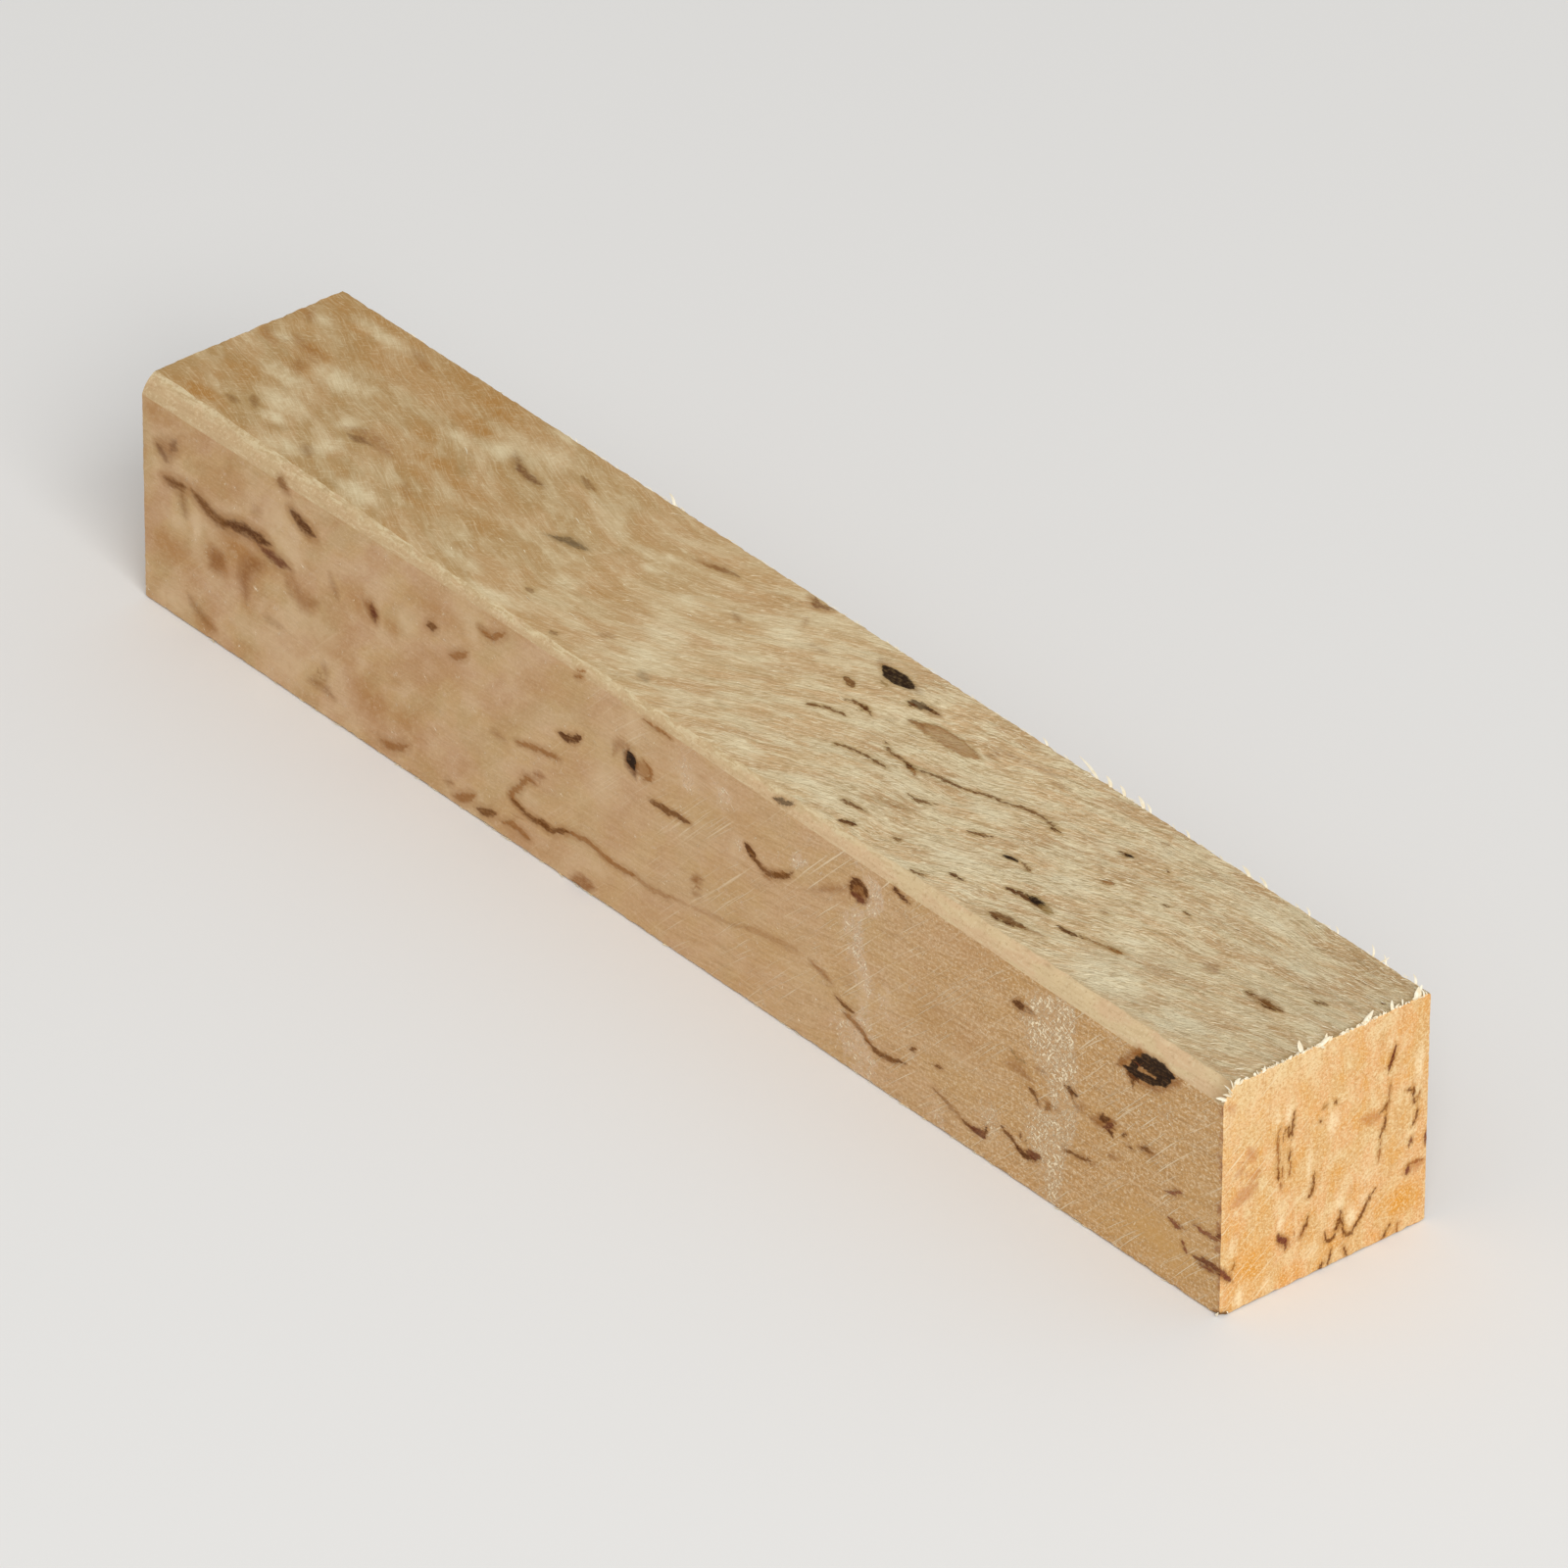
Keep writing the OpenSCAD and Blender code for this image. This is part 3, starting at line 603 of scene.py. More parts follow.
def wildMarks(seed, length, width, count, upright):
    # figure for the faces the photograph hides, of the same kinds and sizes as on the others
    dice = random.Random(seed)
    marks = []
    for _ in range(count):
        kind = dice.random()
        u, v = dice.uniform(0.5, length - 0.5), dice.uniform(0.6, width - 0.6)
        if upright:
            run, lean = dice.uniform(0.4, 2.2), math.radians(90 + dice.gauss(0, 14))
            ink, half = dice.choice(["umber", "umber", "rust", "dark", "plum"]), dice.uniform(0.09, 0.17)
        elif kind < 0.45:
            run, lean = dice.uniform(0.8, 3.2), math.radians(dice.gauss(0, 16))
            ink, half = dice.choice(["umber", "dark", "rust", "plum"]), dice.uniform(0.14, 0.34)
        elif kind < 0.62:
            run, lean = dice.uniform(4.5, 12.0), math.radians(dice.gauss(0, 7))
            ink, half = dice.choice(["umber", "rust", "faint"]), dice.uniform(0.12, 0.2)
        elif kind < 0.66:
            run, lean = dice.uniform(0.8, 2.4), math.radians(dice.gauss(0, 12))
            ink, half = "black", dice.uniform(0.4, 0.62)
        else:
            run, lean = dice.uniform(0.5, 2.4), math.radians(dice.gauss(0, 20))
            ink, half = dice.choice(["softRust", "softUmber", "softPlum", "softOlive"]), dice.uniform(0.3, 0.7)
        steps = max(2, int(run / 1.6) + 1)
        bow = dice.uniform(-0.14, 0.14) * run
        points = []
        for i in range(steps):
            t = i / (steps - 1)
            side = bow * math.sin(math.pi * t) + (dice.gauss(0, 0.12) if 0 < i < steps - 1 else 0)
            points.append((u + run * (t - 0.5) * math.cos(lean) - side * math.sin(lean),
                           v + run * (t - 0.5) * math.sin(lean) + side * math.cos(lean)))
        marks.append((ink, half, points))
    return marks


def wildBands(seed, length, width, count):
    dice = random.Random(seed)
    bands = []
    for _ in range(count):
        at, wide = dice.uniform(6, length - 6), dice.uniform(1.2, 4.5)
        rows = []
        for v in np.linspace(dice.uniform(0, 0.3 * width), dice.uniform(0.6 * width, width), 7):
            left = at - wide / 2 + dice.gauss(0, 0.6)
            rows.append((float(v), left, left + wide * dice.uniform(0.6, 1.1), dice.uniform(0.5, 0.9)))
        bands.append(rows)
    return bands


def wildPatches(seed, length, width, count, spread):
    dice = random.Random(seed)
    return [(dice.uniform(0, length), dice.uniform(0, width), dice.uniform(0.6, spread), dice.uniform(0.4, 1.5),
             dice.uniform(0.4, 0.9)) for _ in range(count)]


faceFigure = {             # marks, then amber, pale and shimmering patches
    "left": (leftMarks, leftAmber, leftPale, leftShimmer),
    "worn": (wornMarks + [mark for mark in leftMarks if min(v for _, v in mark[2]) < 2.6], [], [], []),
    "top": (topMarks, topAmber, topPale, []),
    "right": (wildMarks(11, stickLength, stickHeight, 74, False), wildPatches(12, stickLength, stickHeight, 22, 3.4),
              wildPatches(13, stickLength, stickHeight, 20, 2.4), wildBands(14, stickLength, stickHeight, 5)),
    "bottom": (wildMarks(21, stickLength, stickWidth, 66, False), wildPatches(22, stickLength, stickWidth, 24, 3.2),
               wildPatches(23, stickLength, stickWidth, 30, 2.8), []),
    "near": (endMarks, endAmber, endPale, []),
    "far": (wildMarks(31, stickWidth, stickHeight, 30, True), wildPatches(32, stickWidth, stickHeight, 9, 1.5),
            wildPatches(33, stickWidth, stickHeight, 12, 0.6), []),
}

figurePlan = {
    "layers": 4,           # the first holds the soft marks, the others share out the crisp ones
    "pathStep": 0.12,
    "tipShare": 0.35,      # how much of a mark's length tapers at each tip
    "longestTip": 1.4,
    "holdOff": 0.45,       # beyond this distance from a mark its edge value falls away
    "nothing": -3.0,
}


def smoothPath(points, step):
    # curve through the chosen points, cut into short steps
    pts = np.array(points, dtype=float)
    if len(pts) == 2:
        n = max(2, int(np.hypot(*(pts[1] - pts[0])) / step) + 1)
        return pts[0] + (pts[1] - pts[0]) * np.linspace(0, 1, n)[:, None]
    ghost = np.vstack([2 * pts[0] - pts[1], pts, 2 * pts[-1] - pts[-2]])
    run = []
    for i in range(1, len(ghost) - 2):
        a, b, c, d = ghost[i - 1:i + 3]
        n = max(2, int(np.hypot(*(c - b)) / step) + 1)
        t = np.linspace(0, 1, n, endpoint=False)[:, None]
        run.append(0.5 * (2 * b + (c - a) * t + (2 * a - 5 * b + 4 * c - d) * t ** 2 + (3 * b - a - 3 * c + d) * t ** 3))
    return np.vstack(run + [pts[-1:]])


def markValues(path, half, u, v, plan):
    # side distance, edge value and true distance of each point from one mark
    start, step = path[:-1], np.diff(path, axis=0)
    size = np.hypot(step[:, 0], step[:, 1])
    keep = size > 1e-6
    start, step, size = start[keep], step[keep], size[keep]
    along = step / size[:, None]
    before = np.concatenate([[0], np.cumsum(size)])
    offU, offV = u[:, None] - start[None, :, 0], v[:, None] - start[None, :, 1]
    run = offU * along[:, 0] + offV * along[:, 1]
    held = np.clip(run, 0, size)
    gap = np.hypot(offU - held * along[:, 0], offV - held * along[:, 1])
    best = np.argmin(gap, axis=1)
    rows = np.arange(len(u))
    free = run[rows, best]
    inner = held[rows, best]
    first, last = best == 0, best == len(size) - 1
    s = before[best] + np.where(first & (free < 0) | last & (free > size[best]), free, inner)
    t = along[best, 0] * offV[rows, best] - along[best, 1] * offU[rows, best]
    length = before[-1]
    tip = min(plan["tipShare"] * length, plan["longestTip"])
    inside = np.minimum(s, length - s) + half
    w = np.where(inside > 0, half * np.sin(np.pi / 2 * np.clip(inside / (half + tip), 0, 1)), inside)
    reach = gap[rows, best]
    w = w - 2 * np.maximum(0, reach - half - plan["holdOff"])
    return t, w, reach


def layerMarks(marks, plan):
    # marks that lie close to each other go to different layers, so their values never mix
    layers = [[] for _ in range(plan["layers"])]
    for ink, half, points in marks:
        path = smoothPath(points, plan["pathStep"])
        entry = (ink, half, path)
        if ink.startswith("soft"):
            layers[0].append(entry)
            continue
        rooms = []
        for k in range(1, plan["layers"]):
            nearest = 99.0
            for _, otherHalf, other in layers[k]:
                gap = np.min(np.hypot(path[:, None, 0] - other[None, :, 0], path[:, None, 1] - other[None, :, 1]))
                nearest = min(nearest, gap - half - otherHalf)
            rooms.append(nearest)
        wide = [k for k, room in enumerate(rooms) if room > 1.4]
        layers[1 + (wide[0] if wide else int(np.argmax(rooms)))].append(entry)
    return layers


def paintFigure(face, u, v, plan):
    # per layer: side distance, edge value, depth and hue; then amber, pale and shimmer
    marks, amber, pale, shimmer = faceFigure[face]
    painted = []
    for layer in layerMarks(marks, plan):
        values = np.zeros((len(u), 4), dtype=np.float32)
        values[:, 1] = plan["nothing"]
        closest = np.full(len(u), 99.0)
        for ink, half, path in layer:
            far = half + 1.3
            near = np.flatnonzero((u > path[:, 0].min() - far) & (u < path[:, 0].max() + far)
                                  & (v > path[:, 1].min() - far) & (v < path[:, 1].max() + far))
            if not len(near):
                continue
            t, w, reach = markValues(path, half, u[near], v[near], plan)
            wins = (reach - half < closest[near]) & (reach < far)
            here = near[wins]
            closest[here] = reach[wins] - half
            values[here, 0], values[here, 1] = t[wins], w[wins]
            values[here, 2], values[here, 3] = inks[ink]
        painted.append(values)
    patches = np.zeros((len(u), 3), dtype=np.float32)
    for column, spots in enumerate((amber, pale)):
        for cu, cv, ru, rv, strength in spots:
            fall = np.exp(-1.2 * (((u - cu) / ru) ** 2 + ((v - cv) / rv) ** 2) ** 1.3)
            patches[:, column] = np.maximum(patches[:, column], strength * fall)
    for rows in shimmer:
        rowV, rowLeft, rowRight, rowStrength = np.array(rows).T
        left, right = np.interp(v, rowV, rowLeft), np.interp(v, rowV, rowRight)
        ends = np.clip((np.minimum(v - rowV[0], rowV[-1] - v) + 0.5) / 0.6, 0, 1)
        sides = np.clip((u - left) / 2.2 + 0.4, 0, 1) * np.clip((right - u) / 0.6 + 0.4, 0, 1)
        patches[:, 2] = np.maximum(patches[:, 2], np.interp(v, rowV, rowStrength) * sides * ends)
    return painted, patches


flowPlan = {               # how steeply the fibres rise towards the near end, in degrees, at each u
    "top": ([0, 18, 34, 42, 50, 60, 72, 86, 98, 108, 118, 130], [-16, -24, -22, -8, 14, 26, 22, 12, 18, 20, 16, 20],
            [0, 0, 0, 0, 0, 0, 0, 0, 4, 18, 28, 30]),
    "left": ([0, 30, 60, 90, 110, 130], [2, 0, 4, 8, 3, 8], [0, 0, 0, 0, 0, 0]),
}


def flowOf(face, u, v):
    # fibre coordinates: the second one stays the same along a fibre
    kind = "top" if face in ("top", "bottom") else "left"
    at, rise, lean = flowPlan[kind]
    fine = np.linspace(0, stickLength, 400)
    turned = v / 20 - 0.5
    high = np.tan(np.radians(np.interp(fine, at, rise)))
    tilt = np.tan(np.radians(np.interp(fine, at, lean)))
    step = fine[1] - fine[0]
    climb = np.interp(u, fine, np.cumsum(high) * step)
    swing = np.interp(u, fine, np.cumsum(tilt) * step)
    return v + climb + turned * swing


# the stick itself, one closed skin round the sawn section

stickPlan = {
    "stationStep": 0.4,    # mm between sections along the length
    "faceSteps": 50,       # steps across each of the four faces
    "wornSteps": 8,
    "arrisSteps": 2,
    "capRings": 25,
    "arris": 0.2,
    "wornDown": (1.6, 0.8, 1.5),   # far end, waist, near end
    "wornIn": (1.4, 0.6, 1.1),
    "waistAt": 48.0,
    "fullness": 0.5,
    "nearEase": 0.1,       # rub on the sawn ends' own edges
    "farEase": 0.28,
    "breakAlong": 0.6,
    "breakAcross": 0.8,
    "breakUp": 0.7,
}


def wobble(points, scale, seed):
    shift = Vector((seed * 7.3, seed * 3.1, seed * 5.7))
    return np.array([noise.noise(Vector(p) * scale + shift) for p in points])


def wornReach(s, values, plan):
    far, waist, near = values
    length = stickLength
    run = np.where(s < plan["waistAt"], plan["waistAt"], length - plan["waistAt"])
    share = np.clip(np.abs(s - plan["waistAt"]) / run, 0, 1)
    share = share * share * (3 - 2 * share)
    return waist + (np.where(s < plan["waistAt"], far, near) - waist) * share


def line(a, b, steps):
    t = np.linspace(0, 1, steps + 1)[None, :, None]
    return a[:, None, :] * (1 - t) + b[:, None, :] * t


def sectionStrips(s, plan):
    # each strip runs once along the stick: name, its points across, and which way it faces
    half, top = stickWidth / 2, stickHeight
    lowFibre = [(x, 0, 0) for x in s]
    rag = [0.5 + 0.9 * np.abs(wobble(lowFibre, 0.9, k)) + 0.7 * np.abs(wobble(lowFibre, 3.1, k + 5)) for k in (1, 2, 3)]
    rubs = [plan["arris"] * r for r in rag]
    down = wornReach(s, plan["wornDown"], plan) + 0.06 * wobble(lowFibre, 0.35, 8)
    into = wornReach(s, plan["wornIn"], plan) + 0.16 * wobble(lowFibre, 0.8, 9)
    zero = np.zeros_like(s)

    def at(y, z):
        return np.stack([y + zero, z + zero], axis=1)

    leftLow, leftHigh = at(-half, rubs[2]), at(-half, top - down)
    topLeft, topRight = at(-half + into, top), at(half - rubs[0], top)
    rightHigh, rightLow = at(half, top - rubs[0]), at(half, rubs[1])
    lowRight, lowLeft = at(half - rubs[1], 0), at(-half + rubs[2], 0)
    turn = np.linspace(0, np.pi / 2, plan["wornSteps"] + 1)[None, :]
    share = turn / (np.pi / 2)
    chord = np.stack([into[:, None] * share, -down[:, None] * (1 - share)], axis=2)
    round = np.stack([into[:, None] * (1 - np.cos(turn)), -down[:, None] * (1 - np.sin(turn))], axis=2)
    worn = chord + (round - chord) * plan["fullness"] + np.array([-half, top])
    n, a = plan["faceSteps"], plan["arrisSteps"]
    return [
        ("left", line(leftLow, leftHigh, n), (-1, 0)),
        ("worn", worn, (-0.7, 0.7)),
        ("top", line(topLeft, topRight, n), (0, 1)),
        ("top", line(topRight, rightHigh, a), (0.7, 0.7)),
        ("right", line(rightHigh, rightLow, n), (1, 0)),
        ("right", line(rightLow, lowRight, a), (0.7, -0.7)),
        ("bottom", line(lowRight, lowLeft, n), (0, -1)),
        ("left", line(lowLeft, leftLow, a), (-0.7, -0.7)),
    ]


def facePlace(face, points):
    # place on a face in mm, as the marks are listed
    u = points[:, 0] + stickLength / 2
    across, down = stickWidth / 2 - points[:, 1], stickHeight - points[:, 2]
    if face in ("near", "far"):
        return points[:, 1] + stickWidth / 2, down
    return (u, across) if face in ("top", "bottom") else (u, down)


faceOrder = ["left", "worn", "top", "right", "bottom", "near", "far"]


def reliefOf(face, points, plan):
    # how far the surface stands out of its flat face, in mm
    slow = 0.03 * wobble(points, 0.11, 4)
    if face in ("top", "bottom"):
        fibre = points * np.array([0.3, 1.6, 1.0]) + np.array([0.0, 0.0, 0.0])
        wool = 0.05 * wobble(fibre, 1.0, 12) + 0.035 * wobble(points * np.array([0.8, 1.9, 1.0]), 1.0, 13)
        return slow + wool
    if face in ("near", "far"):
        return 0.4 * slow + 0.02 * wobble(points, 1.3, 14)
    return slow + 0.016 * wobble(points * np.array([0.5, 1.0, 1.0]), 1.0, 15)


def breakCorner(points, plan):
    # the splintered lower left corner of the near end
    i = (stickLength / 2 - points[:, 0]) / plan["breakAlong"]
    j = (points[:, 1] + stickWidth / 2) / plan["breakAcross"]
    k = points[:, 2] / plan["breakUp"]
    missing = np.maximum(0, 1 - (np.maximum(i, 0) + np.maximum(j, 0) + np.maximum(k, 0)))
    push = np.array([-plan["breakAlong"], plan["breakAcross"], plan["breakUp"]]) / 3
    return points + missing[:, None] * push


def buildStick(plan):
    stations = int(round(stickLength / plan["stationStep"]))
    s = np.linspace(0, stickLength, stations + 1)
    s[0], s[-1] = plan["farEase"], stickLength - plan["nearEase"]
    strips = sectionStrips(s, plan)
    ringSize = sum(pts.shape[1] - 1 for _, pts, _ in strips)
    ring = np.zeros((len(s), ringSize, 3))
    base = 0
    for face, pts, out in strips:
        n = pts.shape[1] - 1
        grid = np.concatenate([np.broadcast_to((s - stickLength / 2)[:, None, None], (len(s), n, 1)), pts[:, :n]], axis=2)
        flat = grid.reshape(-1, 3)
        edge = np.minimum(np.arange(n), n - np.arange(n)) * (stickWidth / plan["faceSteps"])
        fade = np.clip(edge / 0.9, 0, 1)[None, :] * np.clip(np.minimum(s, stickLength - s) / 0.9, 0.3, 1)[:, None]
        if n > plan["wornSteps"]:
            lift = reliefOf(face, flat, plan).reshape(len(s), n) * fade
            u, v = facePlace(face, flat)
            painted, _ = paintFigure(face, u, v, figurePlan)
            for values in painted[1:]:
                bite = np.clip((values[:, 1] - np.abs(values[:, 0])) / 0.25, 0, 1) * values[:, 2] * values[:, 3]
                lift -= 0.07 * bite.reshape(len(s), n)
            if face == "bottom":
                lift = -np.abs(lift)
            grid[:, :, 1] += out[0] * lift
            grid[:, :, 2] += out[1] * lift
        ring[:, base:base + n] = grid
        base += n

    rimFace = np.concatenate([[face] * (pts.shape[1] - 1) for face, pts, _ in strips])
    for row, seed in ((0, 31), (len(s) - 1, 32)):
        jag = 0.1 * wobble(ring[row], 0.9, seed) + 0.12 * wobble(ring[row], 2.3, seed + 2)
        ring[row, :, 2] += np.where(rimFace == "top", jag, np.where(rimFace == "bottom", np.abs(jag), 0))
        ring[row, :, 1] += np.where(rimFace == "left", 0.5 * np.abs(jag), np.where(rimFace == "right", -0.5 * np.abs(jag), 0))

    points = [ring.reshape(-1, 3)]
    quads, faceOfQuad = [], []
    col = 0
    for face, pts, _ in strips:
        n = pts.shape[1] - 1
        j = col + np.arange(n)
        jNext = (j + 1) % ringSize
        rows = np.arange(len(s) - 1)[:, None] * ringSize
        block = np.stack([rows + j, rows + jNext, rows + ringSize + jNext, rows + ringSize + j], axis=2).reshape(-1, 4)
        quads.append(block)
        faceOfQuad += [faceOrder.index(face)] * len(block)
        col += n

    # the two sawn ends, as rings that close on the middle
    middle = np.array([0.0, stickHeight / 2])
    offset = len(points[0])
    fans = []
    for end, row, x, ease, rubSeed in (("far", 0, -stickLength / 2, plan["farEase"], 21),
                                       ("near", len(s) - 1, stickLength / 2, plan["nearEase"], 22)):
        rim = ring[row]
        rub = ease * (0.6 + 0.8 * np.abs(wobble(rim, 1.4, rubSeed)) + 0.5 * np.abs(wobble(rim, 4.0, rubSeed + 2)))
        shrink = 1 - rub / (stickWidth / 2)
        capRings = []
        for k in range(plan["capRings"]):
            t = shrink * (1 - k / plan["capRings"])
            yz = middle + (rim[:, 1:] - middle) * t[:, None]
            flat = np.column_stack([np.full(ringSize, x), yz])
            flat[:, 0] -= np.sign(x) * np.abs(reliefOf(end, flat, plan)) * min(1.0, k / 2)
            capRings.append(flat)
        centre = np.array([[x, *middle]])
        outer = row * ringSize + np.arange(ringSize)
        previous = outer
        for k, flat in enumerate(capRings):
            current = offset + k * ringSize + np.arange(ringSize)
            block = np.stack([previous, np.roll(previous, -1), np.roll(current, -1), current], axis=1)
            quads.append(block if end == "near" else block[:, ::-1])
            faceOfQuad += [faceOrder.index(end)] * ringSize
            previous = current
        tipIndex = offset + len(capRings) * ringSize
        for a, b in zip(previous, np.roll(previous, -1)):
            fans.append(((a, b, tipIndex) if end == "near" else (b, a, tipIndex), faceOrder.index(end)))
        points += capRings + [centre]
        offset = tipIndex + 1

    vertices = breakCorner(np.vstack(points), plan)
    vertices[:, 2] = np.maximum(vertices[:, 2], 0.0)
    return vertices, np.vstack(quads), np.array(faceOfQuad), fans


# torn fibres that stand on the sawn edges: base and tip on the near end (u, v down), width, how far the tip leans out
tornFibres = [
    (0.8, 0.7, -0.1, -0.5, 0.26, 0.2), (0.9, 0.54, 0.57, -0.65, 0.2, 0.0), (1.13, 0.2, 1.52, -0.42, 0.26, 0.1),
    (0.72, 0.86, -0.3, 0.2, 0.26, 0.3), (0.3, 1.0, -0.9, 0.3, 0.28, 0.1), (1.0, 0.4, 1.05, -0.45, 0.15, 0.2),
    (0.6, 0.8, 0.15, 0.0, 0.2, 0.5), (0.35, 1.1, -0.35, 0.85, 0.16, 0.2), (1.4, 0.15, 1.75, -0.25, 0.2, 0.2),
    (3.4, 0.1, 3.2, -0.35, 0.2, -0.1), (3.7, 0.1, 3.9, -0.5, 0.24, 0.1), (4.1, 0.1, 3.9, -0.3, 0.16, 0.0),
    (4.9, 0.1, 4.8, -0.3, 0.2, 0.1), (5.7, 0.1, 5.5, -0.3, 0.14, 0.0), (6.4, 0.1, 6.6, -0.3, 0.18, 0.1),
    (7.75, 0.15, 7.35, -1.25, 0.36, -0.2), (7.3, 0.1, 7.2, -0.35, 0.2, 0.1),
    (9.1, 0.1, 9.7, -0.2, 0.26, 0.3), (9.5, 0.15, 10.3, -0.45, 0.26, 0.2), (9.9, 0.1, 10.1, -0.75, 0.16, -0.1),
    (9.7, 0.2, 9.3, 0.1, 0.3, 0.3), (11.5, 0.1, 11.7, -0.25, 0.16, 0.0), (12.6, 0.1, 12.5, -0.25, 0.16, 0.1),
    (13.7, 0.1, 14.55, -0.95, 0.28, 0.1), (13.6, 0.1, 13.4, -0.3, 0.2, 0.1), (14.3, 0.1, 14.2, -0.4, 0.16, 0.0),
    (15.5, 0.1, 15.3, -0.3, 0.16, 0.1), (16.6, 0.1, 16.5, -0.95, 0.22, -0.1), (16.9, 0.1, 17.2, -0.4, 0.14, 0.1),
    (17.6, 0.1, 17.5, -0.65, 0.18, 0.0), (18.9, 0.1, 19.15, -1.05, 0.26, -0.1), (19.2, 0.1, 19.6, -0.95, 0.3, -0.3),
    (19.7, 0.2, 19.5, -0.6, 0.34, 0.0), (20.1, 0.3, 19.9, -0.2, 0.3, -0.2),
    (-0.1, 20.0, -0.1, 20.46, 0.16, -0.5), (0.75, 20.1, 0.8, 20.46, 0.16, 0.05),
]

# the same on the top's right edge: base u, tip u, how far the tip stands out sideways and up, width
edgeFibres = [
    (92.2, 89.3, 0.35, 0.45, 0.26), (93.6, 92.5, 0.3, 0.3, 0.3), (95.2, 94.2, 0.2, 0.35, 0.26), (97.4, 96.2, 0.3, 0.35, 0.32),
    (98.2, 97.2, 0.25, 0.2, 0.2), (109.6, 108.3, 0.2, 0.22, 0.3), (111.6, 110.2, 0.25, 0.2, 0.22), (123.6, 122.9, 0.35, 0.5, 0.16),
    (124.4, 124.9, 0.3, 0.4, 0.16), (125.0, 124.2, 0.35, 0.3, 0.14), (41.6, 40.4, 0.3, 0.35, 0.24), (86.2, 85.2, 0.15, 0.2, 0.18),
    (102.6, 101.8, 0.15, 0.2, 0.16), (116.4, 115.6, 0.2, 0.2, 0.16), (119.6, 119.0, 0.15, 0.25, 0.12), (128.4, 127.6, 0.3, 0.3, 0.2),
]

fuzzPlan = {
    "seed": 5,
    "edgeCount": 170,      # short hairs along the rough long edges
    "topCount": 460,       # hairs that lie over the woolly top
    "rimCount": 110,       # hairs on the near end's top edge
    "standOut": 0.5,       # mm, the most that a torn fibre stands out of the stick
}


def addFibre(mesh, base, tip, width, thick, bend, sides=5, rings=4):
    # a flat tapering fibre, closed at both tips
    points, faces = mesh
    base, tip, bend = Vector(base), Vector(tip), Vector(bend)
    middle = (base + tip) / 2 + bend
    start = len(points)
    for i in range(rings):
        t = i / (rings - 1)
        size = (0.75 + 0.45 * math.sin(math.pi * t)) * (1 - 0.75 * t ** 3)
        centre = base * (1 - t) ** 2 + middle * 2 * t * (1 - t) + tip * t * t
        along = ((middle - base) * (1 - t) + (tip - middle) * t).normalized()
        sideways = along.cross(Vector((0.3, 0.2, 0.9))).normalized()
        flatways = along.cross(sideways)
        for k in range(sides):
            turn = 2 * math.pi * k / sides
            points.append(centre + sideways * (math.cos(turn) * width / 2 * size)
                          + flatways * (math.sin(turn) * thick / 2 * size))
    for i in range(rings - 1):
        for k in range(sides):
            a, b = start + i * sides + k, start + i * sides + (k + 1) % sides
            faces.append((a, b, b + sides, a + sides))
    faces.append(tuple(start + k for k in reversed(range(sides))))
    faces.append(tuple(start + (rings - 1) * sides + k for k in range(sides)))


